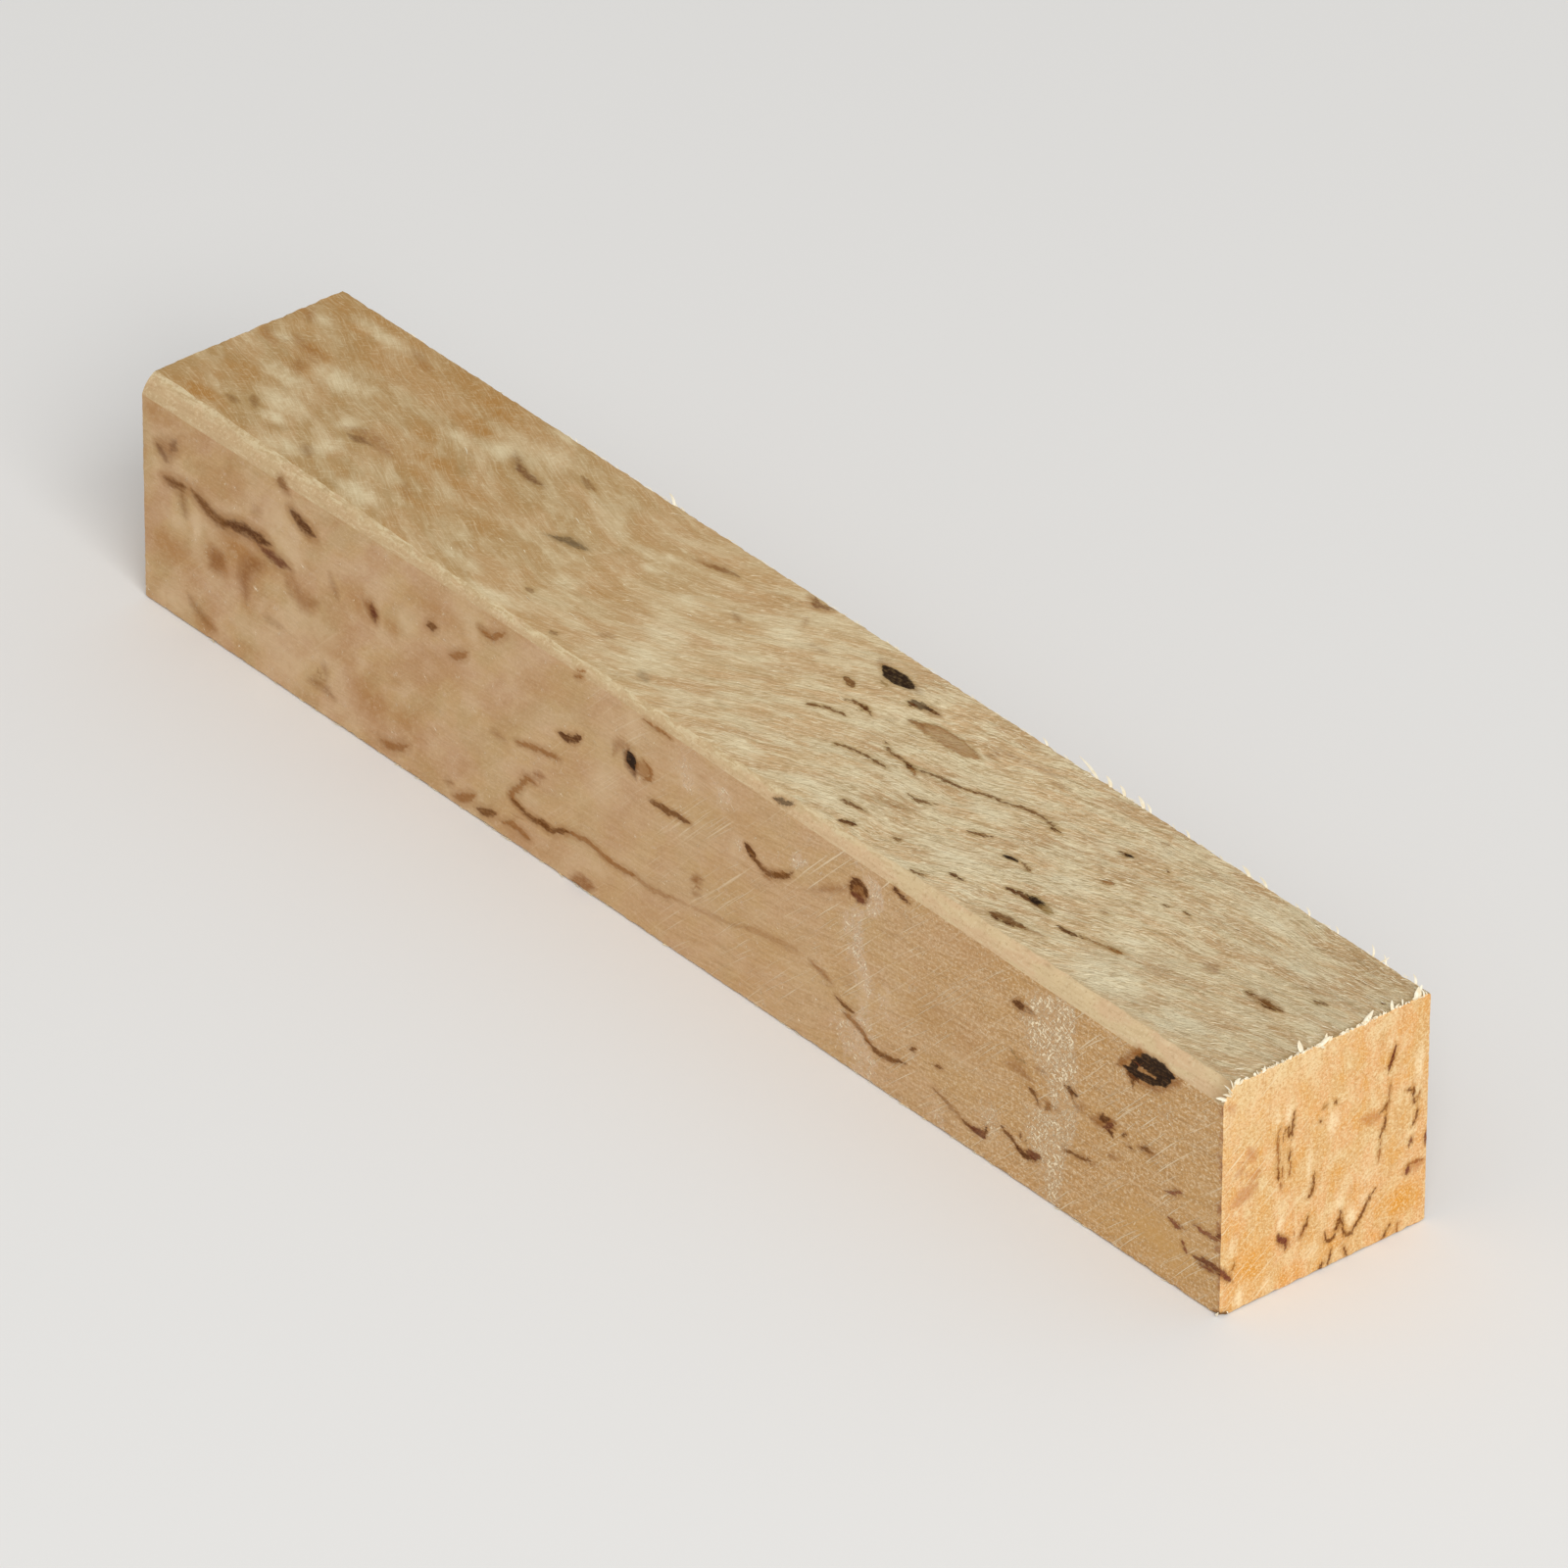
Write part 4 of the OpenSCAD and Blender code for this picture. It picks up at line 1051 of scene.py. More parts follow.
def buildFibres(plan):
    mesh = ([], [])
    dice = random.Random(plan["seed"])
    endX, half, top = stickLength / 2, stickWidth / 2, stickHeight
    for u, v, tipU, tipV, width, lean in tornFibres:
        # seen from the near left, a fibre that leans back looks as if it stood up to the left
        back = max(0.0, -tipV - plan["standOut"], -tipU - plan["standOut"])
        base = (endX - 0.12, u - half, top - v)
        tip = (endX + lean * 0.6 - 0.05 - back, tipU + 0.97 * back - half, top - tipV - back)
        curl = (dice.uniform(-0.1, 0.15), dice.uniform(-0.12, 0.12), dice.uniform(-0.05, 0.1))
        addFibre(mesh, base, tip, width * 1.3, width * 0.5, curl, sides=6, rings=5)
    for u, tipU, out, up, width in edgeFibres:
        base = (u - endX, half - 0.2, top - 0.12)
        tip = (tipU - endX, half + out, top + up)
        addFibre(mesh, base, tip, width * 1.1, width * 0.7, (0.15, 0.14, 0.12), sides=6, rings=5)
    for _ in range(plan["rimCount"]):
        y = dice.uniform(-half + 1.4, half - 0.2)
        size = dice.uniform(0.15, 0.4)
        base = (endX - 0.1, y, top - 0.06)
        tip = (endX - 0.1 + dice.uniform(-0.1, 0.2), y + dice.gauss(0, 0.15), top + size * dice.uniform(0.3, 0.8))
        addFibre(mesh, base, tip, dice.uniform(0.12, 0.26), 0.08, (0, 0, 0.03), sides=4, rings=3)
    rails = [(half - 0.1, top - 0.08, 0.6, 1), (half - 0.1, top - 0.08, 0.6, 1), (half - 0.08, 0.1, 0.6, 0),
             (-half + 0.06, 0.1, -0.6, 0)]
    for _ in range(plan["edgeCount"]):
        y, z, side, up = rails[dice.randrange(len(rails))]
        u = dice.uniform(30 if up else 2, stickLength - 1) if dice.random() < 0.8 else dice.uniform(1, 60)
        run = dice.uniform(0.3, 0.9) * dice.choice((-1, 1))
        base = (u - endX, y, z)
        tip = (u + run - endX, y + side * dice.uniform(0.1, 0.35), max(0.03, z + up * dice.uniform(0.0, 0.16)))
        addFibre(mesh, base, tip, dice.uniform(0.06, 0.14), 0.05, (0, side * 0.05, 0), sides=4, rings=3)
    # loose hairs on the top lie along its grain and keep off the brown marks
    at, rise, lean = flowPlan["top"]
    spots = [(1 + (stickLength - 2) * dice.random() ** 0.28, dice.uniform(1.6, stickWidth - 0.4)) for _ in range(plan["topCount"])]
    us, ys = np.array(spots).T
    painted, _ = paintFigure("top", us, stickWidth - ys, figurePlan)
    onMark = np.any([values[:, 1] - np.abs(values[:, 0]) > -0.35 for values in painted], axis=0)
    for u, across, marked in zip(us.tolist(), ys.tolist(), onMark):
        grain = np.interp(u, at, rise) + (0.5 - across / stickWidth) * np.interp(u, at, lean)
        angle, run = math.radians(dice.gauss(float(grain), 13)), dice.uniform(0.5, 1.5)
        y = across - half
        if marked:
            continue
        base = (u - endX, y, top - 0.06)
        tip = (u - endX + run * math.cos(angle), y + run * math.sin(angle), top + dice.uniform(-0.01, 0.07))
        addFibre(mesh, base, tip, dice.uniform(0.06, 0.11), 0.05, (0, dice.gauss(0, 0.09), 0.05), sides=4, rings=3)
    return mesh


# finishes

inkRamp = [                # olive, russet, rust, umber, dark, plum, brick, slate, black
    (0.0, (0.27, 0.165, 0.04)), (0.13, (0.28, 0.112, 0.032)), (0.25, (0.285, 0.103, 0.015)), (0.46, (0.15, 0.05, 0.006)),
    (0.6, (0.105, 0.033, 0.006)), (0.72, (0.135, 0.034, 0.012)),
    (0.8, (0.185, 0.04, 0.016)), (0.88, (0.09, 0.055, 0.026)), (1.0, (0.022, 0.009, 0.003)),
]
endInkRamp = [
    (0.0, (0.32, 0.16, 0.02)), (0.13, (0.52, 0.2, 0.072)), (0.25, (0.3, 0.078, 0.006)), (0.46, (0.13, 0.028, 0.001)),
    (0.72, (0.14, 0.024, 0.016)), (0.88, (0.13, 0.06, 0.02)), (1.0, (0.04, 0.015, 0.003)),
]

leftFinish = {
    "body": (0.575, 0.366, 0.176), "warm": (0.595, 0.385, 0.21), "shade": (0.40, 0.232, 0.1),
    "amber": (0.44, 0.222, 0.08), "pale": (0.68, 0.487, 0.29), "scratch": (0.82, 0.66, 0.44),
    "pink": (0.54, 0.315, 0.18), "khaki": (0.52, 0.365, 0.178), "gold": (0.58, 0.335, 0.118), "nearTan": (0.54, 0.288, 0.092),
    "curl": (0.99, 0.83, 0.57), "gap": (0.45, 0.265, 0.12), "band": (0.63, 0.41, 0.23), "veil": (0.70, 0.49, 0.32),
    # halo: brown round the marks; edge: painted shade along the near end's edge
    "halo": (0.36, 0.175, 0.06), "edge": (0.27, 0.095, 0.035),
    "fibreAngle": 4.0, "roughness": 0.68, "relief": 0.07,
}
topFinish = {
    "body": (0.645, 0.468, 0.257), "warm": (0.655, 0.44, 0.232), "shade": (0.38, 0.245, 0.1), "rosy": (0.54, 0.338, 0.165),
    "far": (0.415, 0.255, 0.102), "amber": (0.42, 0.212, 0.06), "pale": (0.75, 0.635, 0.40), "cream": (0.84, 0.745, 0.51),
    "scratch": (0.87, 0.75, 0.5), "halo": (0.40, 0.25, 0.09),
    "fibreAngle": 0.0, "roughness": 0.88, "relief": 0.2,
}
# end grain tones, painted lighter than the wood's own colour to stand in for the light on the end (used on both ends)
endToneWithPaintedLight = {
    "body": (0.735, 0.438, 0.176), "warm": (0.785, 0.436, 0.188), "shade": (0.54, 0.255, 0.068),
    "amber": (0.75, 0.325, 0.04), "pale": (0.87, 0.67, 0.37), "streak": (0.95, 0.76, 0.47), "scratch": (0.86, 0.66, 0.40),
    "halo": (0.46, 0.2, 0.035), "roughness": 0.85, "relief": 0.09,
}
wornFinish = {
    "body": (0.635, 0.478, 0.272), "warm": (0.63, 0.44, 0.255), "shade": (0.42, 0.27, 0.13),
    "pale": (0.72, 0.58, 0.36), "dull": (0.535, 0.372, 0.198), "pink": (0.56, 0.345, 0.19),
    "roughness": 0.75, "relief": 0.05,
}
fibreFinish = {"body": (0.92, 0.85, 0.68), "root": (0.84, 0.73, 0.52), "roughness": 0.75}


def startFinish(name):
    material = bpy.data.materials.new(name)
    material.use_nodes = True
    tree = material.node_tree
    shader = tree.nodes["Principled BSDF"]
    return material, tree, shader


def wander(tree, place, amount, scale):
    # lets the fibres drift sideways as they run
    drift = put(tree, "ShaderNodeTexNoise", noise_dimensions="3D")
    plug(tree, drift.inputs["Vector"], place)
    drift.inputs["Scale"].default_value = scale
    drift.inputs["Detail"].default_value = 2.0
    level = calc(tree, "MULTIPLY_ADD", drift.outputs["Fac"], amount, -amount / 2)
    sideways = put(tree, "ShaderNodeCombineXYZ")
    plug(tree, sideways.inputs[1], level)
    moved = put(tree, "ShaderNodeVectorMath", operation="ADD")
    plug(tree, moved.inputs[0], place)
    plug(tree, moved.inputs[1], sideways.outputs[0])
    return moved.outputs[0]


def inkMarks(tree, colour, place, rag, tones, halo, soften, layers=figurePlan["layers"]):
    # lays the brown marks over the wood and returns how deep they bite
    ragged = calc(tree, "MULTIPLY_ADD", rag, 1.1, -0.55)
    spotty = clouds(tree, place, 2.8, 3.0, 0.7)
    stripy = clouds(tree, stretched(tree, place, 1.1, 0.17, 6.0), 1.0, 3.0, 0.7)
    mottle = calc(tree, "MULTIPLY_ADD", spotty, 0.5, calc(tree, "MULTIPLY", stripy, 0.5))
    prepared = []
    for k in range(layers):
        mark = attribute(tree, f"marks{k}")
        parts = put(tree, "ShaderNodeSeparateColor")
        plug(tree, parts.inputs[0], mark.outputs["Color"])
        side, edge, depth = parts.outputs
        inside = calc(tree, "SUBTRACT", edge, calc(tree, "ABSOLUTE", side))
        torn = ease(tree, mark.outputs["Alpha"], 0.9, 1.0, 0.75, 0.4)
        if k == 0:
            inside = calc(tree, "MULTIPLY_ADD", ragged, 0.7, inside)
            inside = calc(tree, "DIVIDE", inside, calc(tree, "MULTIPLY_ADD", soften, 0.35, 0.65))
            cover = ease(tree, inside, -0.4, 0.5)
        else:
            inside = calc(tree, "DIVIDE", calc(tree, "MULTIPLY_ADD", ragged, torn, inside), soften)
            cover = ease(tree, inside, -0.09, 0.08)
            round = ease(tree, inside, -0.5, 0.0, 0.0, 0.55)
            colour = blend(tree, calc(tree, "MULTIPLY", round, depth), colour, halo)
        prepared.append((mark, calc(tree, "MULTIPLY", cover, depth)))
    bite = None
    for k, (mark, amount) in enumerate(prepared):
        ramp = put(tree, "ShaderNodeValToRGB")
        stops = ramp.color_ramp.elements
        while len(stops) < len(tones):
            stops.new(0.5)
        for stop, (at, tone) in zip(stops, tones):
            stop.position = at
            stop.color = (*tone, 1)
        plug(tree, ramp.inputs[0], mark.outputs["Alpha"])
        lighter = calc(tree, "MULTIPLY", calc(tree, "SUBTRACT", 1.18, mark.outputs["Alpha"]), ease(tree, mottle, 0.49, 0.61, 0.0, 0.8))
        worked = blend(tree, lighter, ramp.outputs[0], halo)
        thin = calc(tree, "MULTIPLY", amount, ease(tree, mottle, 0.38, 0.62, 1.0, 0.94 if k else 0.85))
        colour = blend(tree, thin, colour, worked)
        bite = amount if bite is None else calc(tree, "MAXIMUM", bite, amount)
    return colour, bite


def raise_(tree, shader, height, relief):
    bump = put(tree, "ShaderNodeBump")
    bump.inputs["Strength"].default_value = 1.0
    bump.inputs["Distance"].default_value = relief * mm
    plug(tree, bump.inputs["Height"], height)
    plug(tree, shader.inputs["Normal"], bump.outputs[0])


def makeLeftFinish(plan):
    # smooth sawn face: tan, silky, with fine pale saw lines and shimmering patches
    material, tree, shader = startFinish("silkySawnFace")
    place = attribute(tree, "place").outputs["Vector"]
    patch = put(tree, "ShaderNodeSeparateXYZ")
    plug(tree, patch.inputs[0], attribute(tree, "patches").outputs["Vector"])
    where = put(tree, "ShaderNodeSeparateXYZ")
    plug(tree, where.inputs[0], place)
    flow = wander(tree, attribute(tree, "flow").outputs["Vector"], 4.0, 0.06)
    broad = clouds(tree, stretched(tree, flow, 7.0, 3.2), 1.0, 3.0, 0.55)
    billow = clouds(tree, stretched(tree, wander(tree, place, 5.0, 0.07), 6.0, 3.0, 48.0, 3.0), 1.0, 3.0, 0.55)
    streak = clouds(tree, stretched(tree, flow, 5.0, 0.5), 1.0, 4.0, 0.65)
    hair = clouds(tree, stretched(tree, flow, 2.2, 0.19), 1.0, 3.0, 0.7)
    crumb = clouds(tree, stretched(tree, place, 0.46, 0.2, 8.0), 1.0, 3.0, 0.75)
    grain = clouds(tree, place, 3.6, 2.0, 0.6)
    tint = clouds(tree, stretched(tree, place, 7.0, 4.0, 40.0, 9.0), 1.0, 2.0, 0.5)
    farther = ease(tree, where.outputs[0], 85.0, 20.0)
    nearer = ease(tree, where.outputs[0], 45.0, 105.0, 0.3, 1.0)
    finer = ease(tree, where.outputs[0], 70.0, 118.0, 0.2, 1.0)
    colour = blend(tree, ease(tree, broad, 0.42, 0.58), plan["body"], plan["warm"])
    pinker = calc(tree, "MULTIPLY", ease(tree, tint, 0.49, 0.62), calc(tree, "MULTIPLY_ADD", farther, 0.35, 0.2))
    colour = blend(tree, pinker, colour, plan["pink"])
    duller = calc(tree, "MULTIPLY", ease(tree, tint, 0.5, 0.38), calc(tree, "MULTIPLY_ADD", farther, 0.3, 0.2))
    colour = blend(tree, duller, colour, plan["khaki"])
    tanner = calc(tree, "ADD", ease(tree, where.outputs[0], 60.0, 84.0, 0.0, 0.15), ease(tree, where.outputs[0], 84.0, 119.0, 0.0, 0.72))
    colour = blend(tree, tanner, colour, plan["nearTan"])
    tanned = calc(tree, "MULTIPLY", ease(tree, billow, 0.49, 0.63), calc(tree, "MULTIPLY_ADD", farther, 0.34, 0.08))
    colour = blend(tree, tanned, colour, plan["amber"])
    creamy = calc(tree, "MULTIPLY", ease(tree, billow, 0.49, 0.36), calc(tree, "MULTIPLY_ADD", farther, 0.4, 0.08))
    colour = blend(tree, creamy, colour, plan["pale"])
    for fibre, low, high, strength, tone, reach in (
            (streak, 0.51, 0.65, 0.46, "shade", nearer), (streak, 0.49, 0.35, 0.46, "pale", nearer),
            (hair, 0.51, 0.64, 0.4, "shade", nearer), (hair, 0.48, 0.34, 0.38, "pale", nearer),
            (crumb, 0.53, 0.64, 0.7, "shade", finer), (crumb, 0.46, 0.36, 0.65, "scratch", finer),
            (grain, 0.54, 0.64, 0.5, "shade", finer), (grain, 0.46, 0.36, 0.45, "scratch", finer)):
        amount = calc(tree, "MULTIPLY", reach, ease(tree, fibre, low, high, 0.0, strength))
        colour = blend(tree, amount, colour, plan[tone])
    rough = clouds(tree, place, 0.9, 3.0, 0.6)
    stronger = calc(tree, "MULTIPLY_ADD", farther, 0.5, 1.0)
    amber = calc(tree, "MULTIPLY", patch.outputs[0], ease(tree, rough, 0.38, 0.56, 0.6, 1.0))
    amber = calc(tree, "MULTIPLY", amber, stronger, clamp=True)
    golden = blend(tree, ease(tree, where.outputs[0], 98.0, 114.0), plan["amber"], plan["gold"])
    colour = blend(tree, amber, colour, golden)
    pale = calc(tree, "MULTIPLY", patch.outputs[1], ease(tree, rough, 0.38, 0.56, 0.5, 1.0))
    pale = calc(tree, "MULTIPLY", pale, stronger, clamp=True)
    colour = blend(tree, pale, colour, plan["pale"])
    # saw lines, most of them towards the near end
    drifting = wander(tree, place, 0.9, 0.1)
    lines = clouds(tree, stretched(tree, drifting, 12.0, 0.2, 46.0), 1.0, 2.0, 0.5)
    cross = clouds(tree, stretched(tree, drifting, 8.0, 0.17, 41.0, 4.0), 1.0, 2.0, 0.5)
    towardsNear = ease(tree, where.outputs[0], 40.0, 98.0, 0.12, 1.0)
    patchy = ease(tree, clouds(tree, place, 0.2, 2.0), 0.44, 0.58, 0.3, 1.0)
    scored = calc(tree, "MAXIMUM", ease(tree, lines, 0.61, 0.69), ease(tree, cross, 0.61, 0.69, 0.0, 0.85))
    scored = calc(tree, "MULTIPLY", calc(tree, "MULTIPLY", scored, towardsNear), patchy)
    colour = blend(tree, calc(tree, "MULTIPLY", scored, 0.8), colour, plan["scratch"])
    # shimmer: short pale curls of fibre, crowding together where a band runs
    frayed = clouds(tree, place, 0.8, 3.0, 0.65)
    ragEdge = calc(tree, "MULTIPLY_ADD", clouds(tree, place, 2.4, 2.0, 0.6), 1.2, -0.6)
    band = calc(tree, "MULTIPLY_ADD", frayed, 1.7, calc(tree, "SUBTRACT", patch.outputs[2], 0.85))
    band = calc(tree, "ADD", band, ragEdge)
    within = ease(tree, band, 0.1, 0.9)
    curls = clouds(tree, stretched(tree, place, 0.6, 0.18, 62.0), 1.0, 2.0, 0.65, 1.0)
    strands = clouds(tree, stretched(tree, place, 0.55, 0.17, -24.0, 3.0), 1.0, 2.0, 0.65, 1.0)
    crowd = calc(tree, "MULTIPLY_ADD", ease(tree, band, -0.1, 1.1), 0.15, calc(tree, "MAXIMUM", curls, strands))
    shine = calc(tree, "MULTIPLY", ease(tree, crowd, 0.67, 0.78), ease(tree, band, -0.1, 0.4, 0.0, 1.0))
    milky = ease(tree, where.outputs[0], 105.0, 94.0)
    veiled = calc(tree, "MULTIPLY", within, calc(tree, "MULTIPLY_ADD", milky, 0.4, 0.5))
    colour = blend(tree, veiled, colour, blend(tree, milky, plan["band"], plan["veil"]))
    gaps = calc(tree, "MULTIPLY", within, ease(tree, curls, 0.47, 0.37, 0.0, 0.65))
    colour = blend(tree, gaps, colour, plan["gap"])
    colour = blend(tree, shine, colour, plan["curl"])
    loose = calc(tree, "MULTIPLY", ease(tree, curls, 0.64, 0.7), calc(tree, "MULTIPLY", finer, 0.6))
    colour = blend(tree, loose, colour, plan["scratch"])
    # painted shade: a darker rim along the near sawn end's edge
    rim = calc(tree, "MULTIPLY_ADD", frayed, 3.0, where.outputs[0])
    colour = blend(tree, ease(tree, rim, stickLength + 0.8, stickLength + 1.8, 0.0, 0.8), colour, plan["edge"])
    rag = clouds(tree, stretched(tree, place, 0.9, 0.38), 1.0, 3.0, 0.6)
    fray = calc(tree, "SUBTRACT", clouds(tree, stretched(tree, place, 0.36, 0.15, 8.0, 2.0), 1.0, 2.0, 0.7), 0.5)
    rag = calc(tree, "MULTIPLY_ADD", fray, calc(tree, "MULTIPLY", finer, 0.65), rag)
    soften = ease(tree, where.outputs[0], 68.0, -10.0, 1.0, 4.4)
    colour, bite = inkMarks(tree, colour, place, rag, inkRamp, plan["halo"], soften)
    plug(tree, shader.inputs["Base Color"], colour)
    plug(tree, shader.inputs["Roughness"], ease(tree, hair, 0.3, 0.7, plan["roughness"] - 0.06, plan["roughness"] + 0.12))
    shader.inputs["Specular IOR Level"].default_value = 0.1
    height = calc(tree, "MULTIPLY_ADD", streak, 0.4, calc(tree, "MULTIPLY", hair, 0.5))
    height = calc(tree, "MULTIPLY_ADD", crumb, 0.35, height)
    height = calc(tree, "MULTIPLY_ADD", scored, 0.4, height)
    height = calc(tree, "MULTIPLY_ADD", shine, 0.6, height)
    height = calc(tree, "MULTIPLY_ADD", bite, -0.7, height)
    raise_(tree, shader, height, plan["relief"])
    return material


def makeTopFinish(plan):
    # rough sawn face: khaki cream, woolly, its fibres torn up along the length
    material, tree, shader = startFinish("woollySawnFace")
    place = attribute(tree, "place").outputs["Vector"]
    patch = put(tree, "ShaderNodeSeparateXYZ")
    plug(tree, patch.inputs[0], attribute(tree, "patches").outputs["Vector"])
    where = put(tree, "ShaderNodeSeparateXYZ")
    plug(tree, where.inputs[0], place)
    flow = wander(tree, attribute(tree, "flow").outputs["Vector"], 4.5, 0.06)
    loose = wander(tree, flow, 0.9, 0.25)
    angle = plan["fibreAngle"]
    broad = clouds(tree, stretched(tree, flow, 7.5, 2.4, angle), 1.0, 4.0, 0.6)
    cream = clouds(tree, stretched(tree, flow, 4.6, 1.5, angle, 7.0), 1.0, 4.0, 0.62)
    streak = clouds(tree, stretched(tree, loose, 6.0, 0.42, angle), 1.0, 4.0, 0.66)
    hair = clouds(tree, stretched(tree, loose, 3.2, 0.17, angle), 1.0, 3.0, 0.7)
    wisp = clouds(tree, stretched(tree, loose, 0.9, 0.17, angle + 14.0, 5.0), 1.0, 2.0, 0.6, 0.4)
    crumb = clouds(tree, stretched(tree, loose, 0.5, 0.28, angle), 1.0, 3.0, 0.75)
    tuft = clouds(tree, stretched(tree, wander(tree, place, 1.0, 0.3), 0.9, 0.2, 40.0, 8.0), 1.0, 2.0, 0.6, 0.5)
    farther = ease(tree, where.outputs[0], 90.0, 22.0)
    nearer = ease(tree, where.outputs[0], 35.0, 100.0, 0.25, 1.0)
    colour = blend(tree, ease(tree, broad, 0.42, 0.58), plan["warm"], plan["body"])
    colour = blend(tree, calc(tree, "MULTIPLY", farther, 0.92), colour, plan["far"])
    tint = clouds(tree, stretched(tree, flow, 8.0, 4.0, angle, 11.0), 1.0, 2.0, 0.5)
    colour = blend(tree, calc(tree, "MULTIPLY", ease(tree, tint, 0.47, 0.6), calc(tree, "MULTIPLY_ADD", farther, -0.3, 0.8)), colour, plan["rosy"])
    billow = clouds(tree, stretched(tree, flow, 7.0, 2.6, angle, 15.0), 1.0, 3.0, 0.55)
    creamy = calc(tree, "MULTIPLY", ease(tree, billow, 0.48, 0.62), calc(tree, "MULTIPLY_ADD", farther, -0.4, 0.63))
    colour = blend(tree, creamy, colour, plan["pale"])
    creamy = calc(tree, "MULTIPLY", ease(tree, cream, 0.5, 0.6), ease(tree, farther, 0.0, 0.8, 0.7, 0.18))
    colour = blend(tree, creamy, colour, plan["pale"])
    shady = calc(tree, "MULTIPLY", ease(tree, streak, 0.51, 0.64), ease(tree, nearer, 0.25, 1.0, 0.2, 0.45))
    colour = blend(tree, shady, colour, plan["shade"])
    farAmber = calc(tree, "MULTIPLY", farther, ease(tree, cream, 0.49, 0.36, 0.0, 0.3))
    colour = blend(tree, farAmber, colour, plan["amber"])
    rough = clouds(tree, flow, 0.8, 3.0, 0.6)
    amber = calc(tree, "MULTIPLY", patch.outputs[0], ease(tree, rough, 0.38, 0.56, 0.6, 1.0))
    amber = calc(tree, "MULTIPLY", amber, calc(tree, "MULTIPLY_ADD", farther, 0.25, 1.0), clamp=True)
    colour = blend(tree, amber, colour, plan["amber"])
    pale = calc(tree, "MULTIPLY", patch.outputs[1], ease(tree, rough, 0.38, 0.56, 0.5, 0.95))
    colour = blend(tree, pale, colour, plan["pale"])
    # torn fibres: paler strands, with painted shade in the gaps between them
    for fibre, low, high, strength, tone in (
            (hair, 0.52, 0.62, 0.65, "scratch"), (hair, 0.47, 0.36, 0.5, "shade"), (wisp, 0.59, 0.67, 0.75, "scratch"),
            (wisp, 0.41, 0.34, 0.5, "shade"), (crumb, 0.55, 0.66, 0.45, "scratch"), (crumb, 0.43, 0.33, 0.45, "shade"),
            (tuft, 0.57, 0.67, 0.7, "scratch"), (tuft, 0.42, 0.34, 0.45, "shade")):
        amount = calc(tree, "MULTIPLY", nearer, ease(tree, fibre, low, high, 0.0, strength))
        colour = blend(tree, amount, colour, plan[tone])
    woolly = calc(tree, "MULTIPLY", calc(tree, "MULTIPLY", pale, nearer), ease(tree, hair, 0.42, 0.56, 0.45, 0.95))
    colour = blend(tree, woolly, colour, plan["cream"])
    # painted shade in the gaps of the woolly patches near the end
    gapShade = calc(tree, "MULTIPLY", calc(tree, "MULTIPLY", pale, nearer), ease(tree, tuft, 0.44, 0.36, 0.0, 0.8))
    colour = blend(tree, gapShade, colour, plan["shade"])
    # the worn edge runs out over the top in a soft line
    fading = calc(tree, "ADD", attribute(tree, "wornGap").outputs["Fac"], calc(tree, "MULTIPLY_ADD", crumb, 2.0, -1.0))
    edging = calc(tree, "MULTIPLY", ease(tree, fading, 0.5, -0.1), ease(tree, where.outputs[0], 84.0, 102.0))
    colour = blend(tree, edging, colour, wornFinish["body"])
    # painted shadow along the near end's edge, where the torn fibres standing there cast shade
    splinterShadeLine = calc(tree, "MULTIPLY_ADD", rough, 1.4, where.outputs[0])
    colour = blend(tree, ease(tree, splinterShadeLine, stickLength - 0.1, stickLength + 0.5, 0.0, 0.6), colour, plan["shade"])
    rag = clouds(tree, stretched(tree, place, 0.9, 0.36), 1.0, 3.0, 0.6)
    fray = calc(tree, "SUBTRACT", clouds(tree, stretched(tree, loose, 0.5, 0.15, angle, 2.0), 1.0, 2.0, 0.7), 0.5)
    rag = calc(tree, "MULTIPLY_ADD", fray, calc(tree, "MULTIPLY", nearer, 0.8), rag)
    soften = ease(tree, where.outputs[0], 68.0, -10.0, 1.0, 4.0)
    colour, bite = inkMarks(tree, colour, place, rag, inkRamp, plan["halo"], soften)
    plug(tree, shader.inputs["Base Color"], colour)
    plug(tree, shader.inputs["Roughness"], ease(tree, hair, 0.3, 0.7, plan["roughness"] - 0.1, plan["roughness"] + 0.1))
    shader.inputs["Specular IOR Level"].default_value = 0.1
    height = calc(tree, "MULTIPLY_ADD", streak, 0.6, calc(tree, "MULTIPLY", hair, 0.8))
    height = calc(tree, "MULTIPLY_ADD", crumb, 0.5, height)
    height = calc(tree, "MULTIPLY_ADD", wisp, 0.3, height)
    height = calc(tree, "MULTIPLY", height, nearer)
    height = calc(tree, "MULTIPLY_ADD", bite, -0.35, height)
    raise_(tree, shader, height, plan["relief"])
    return material


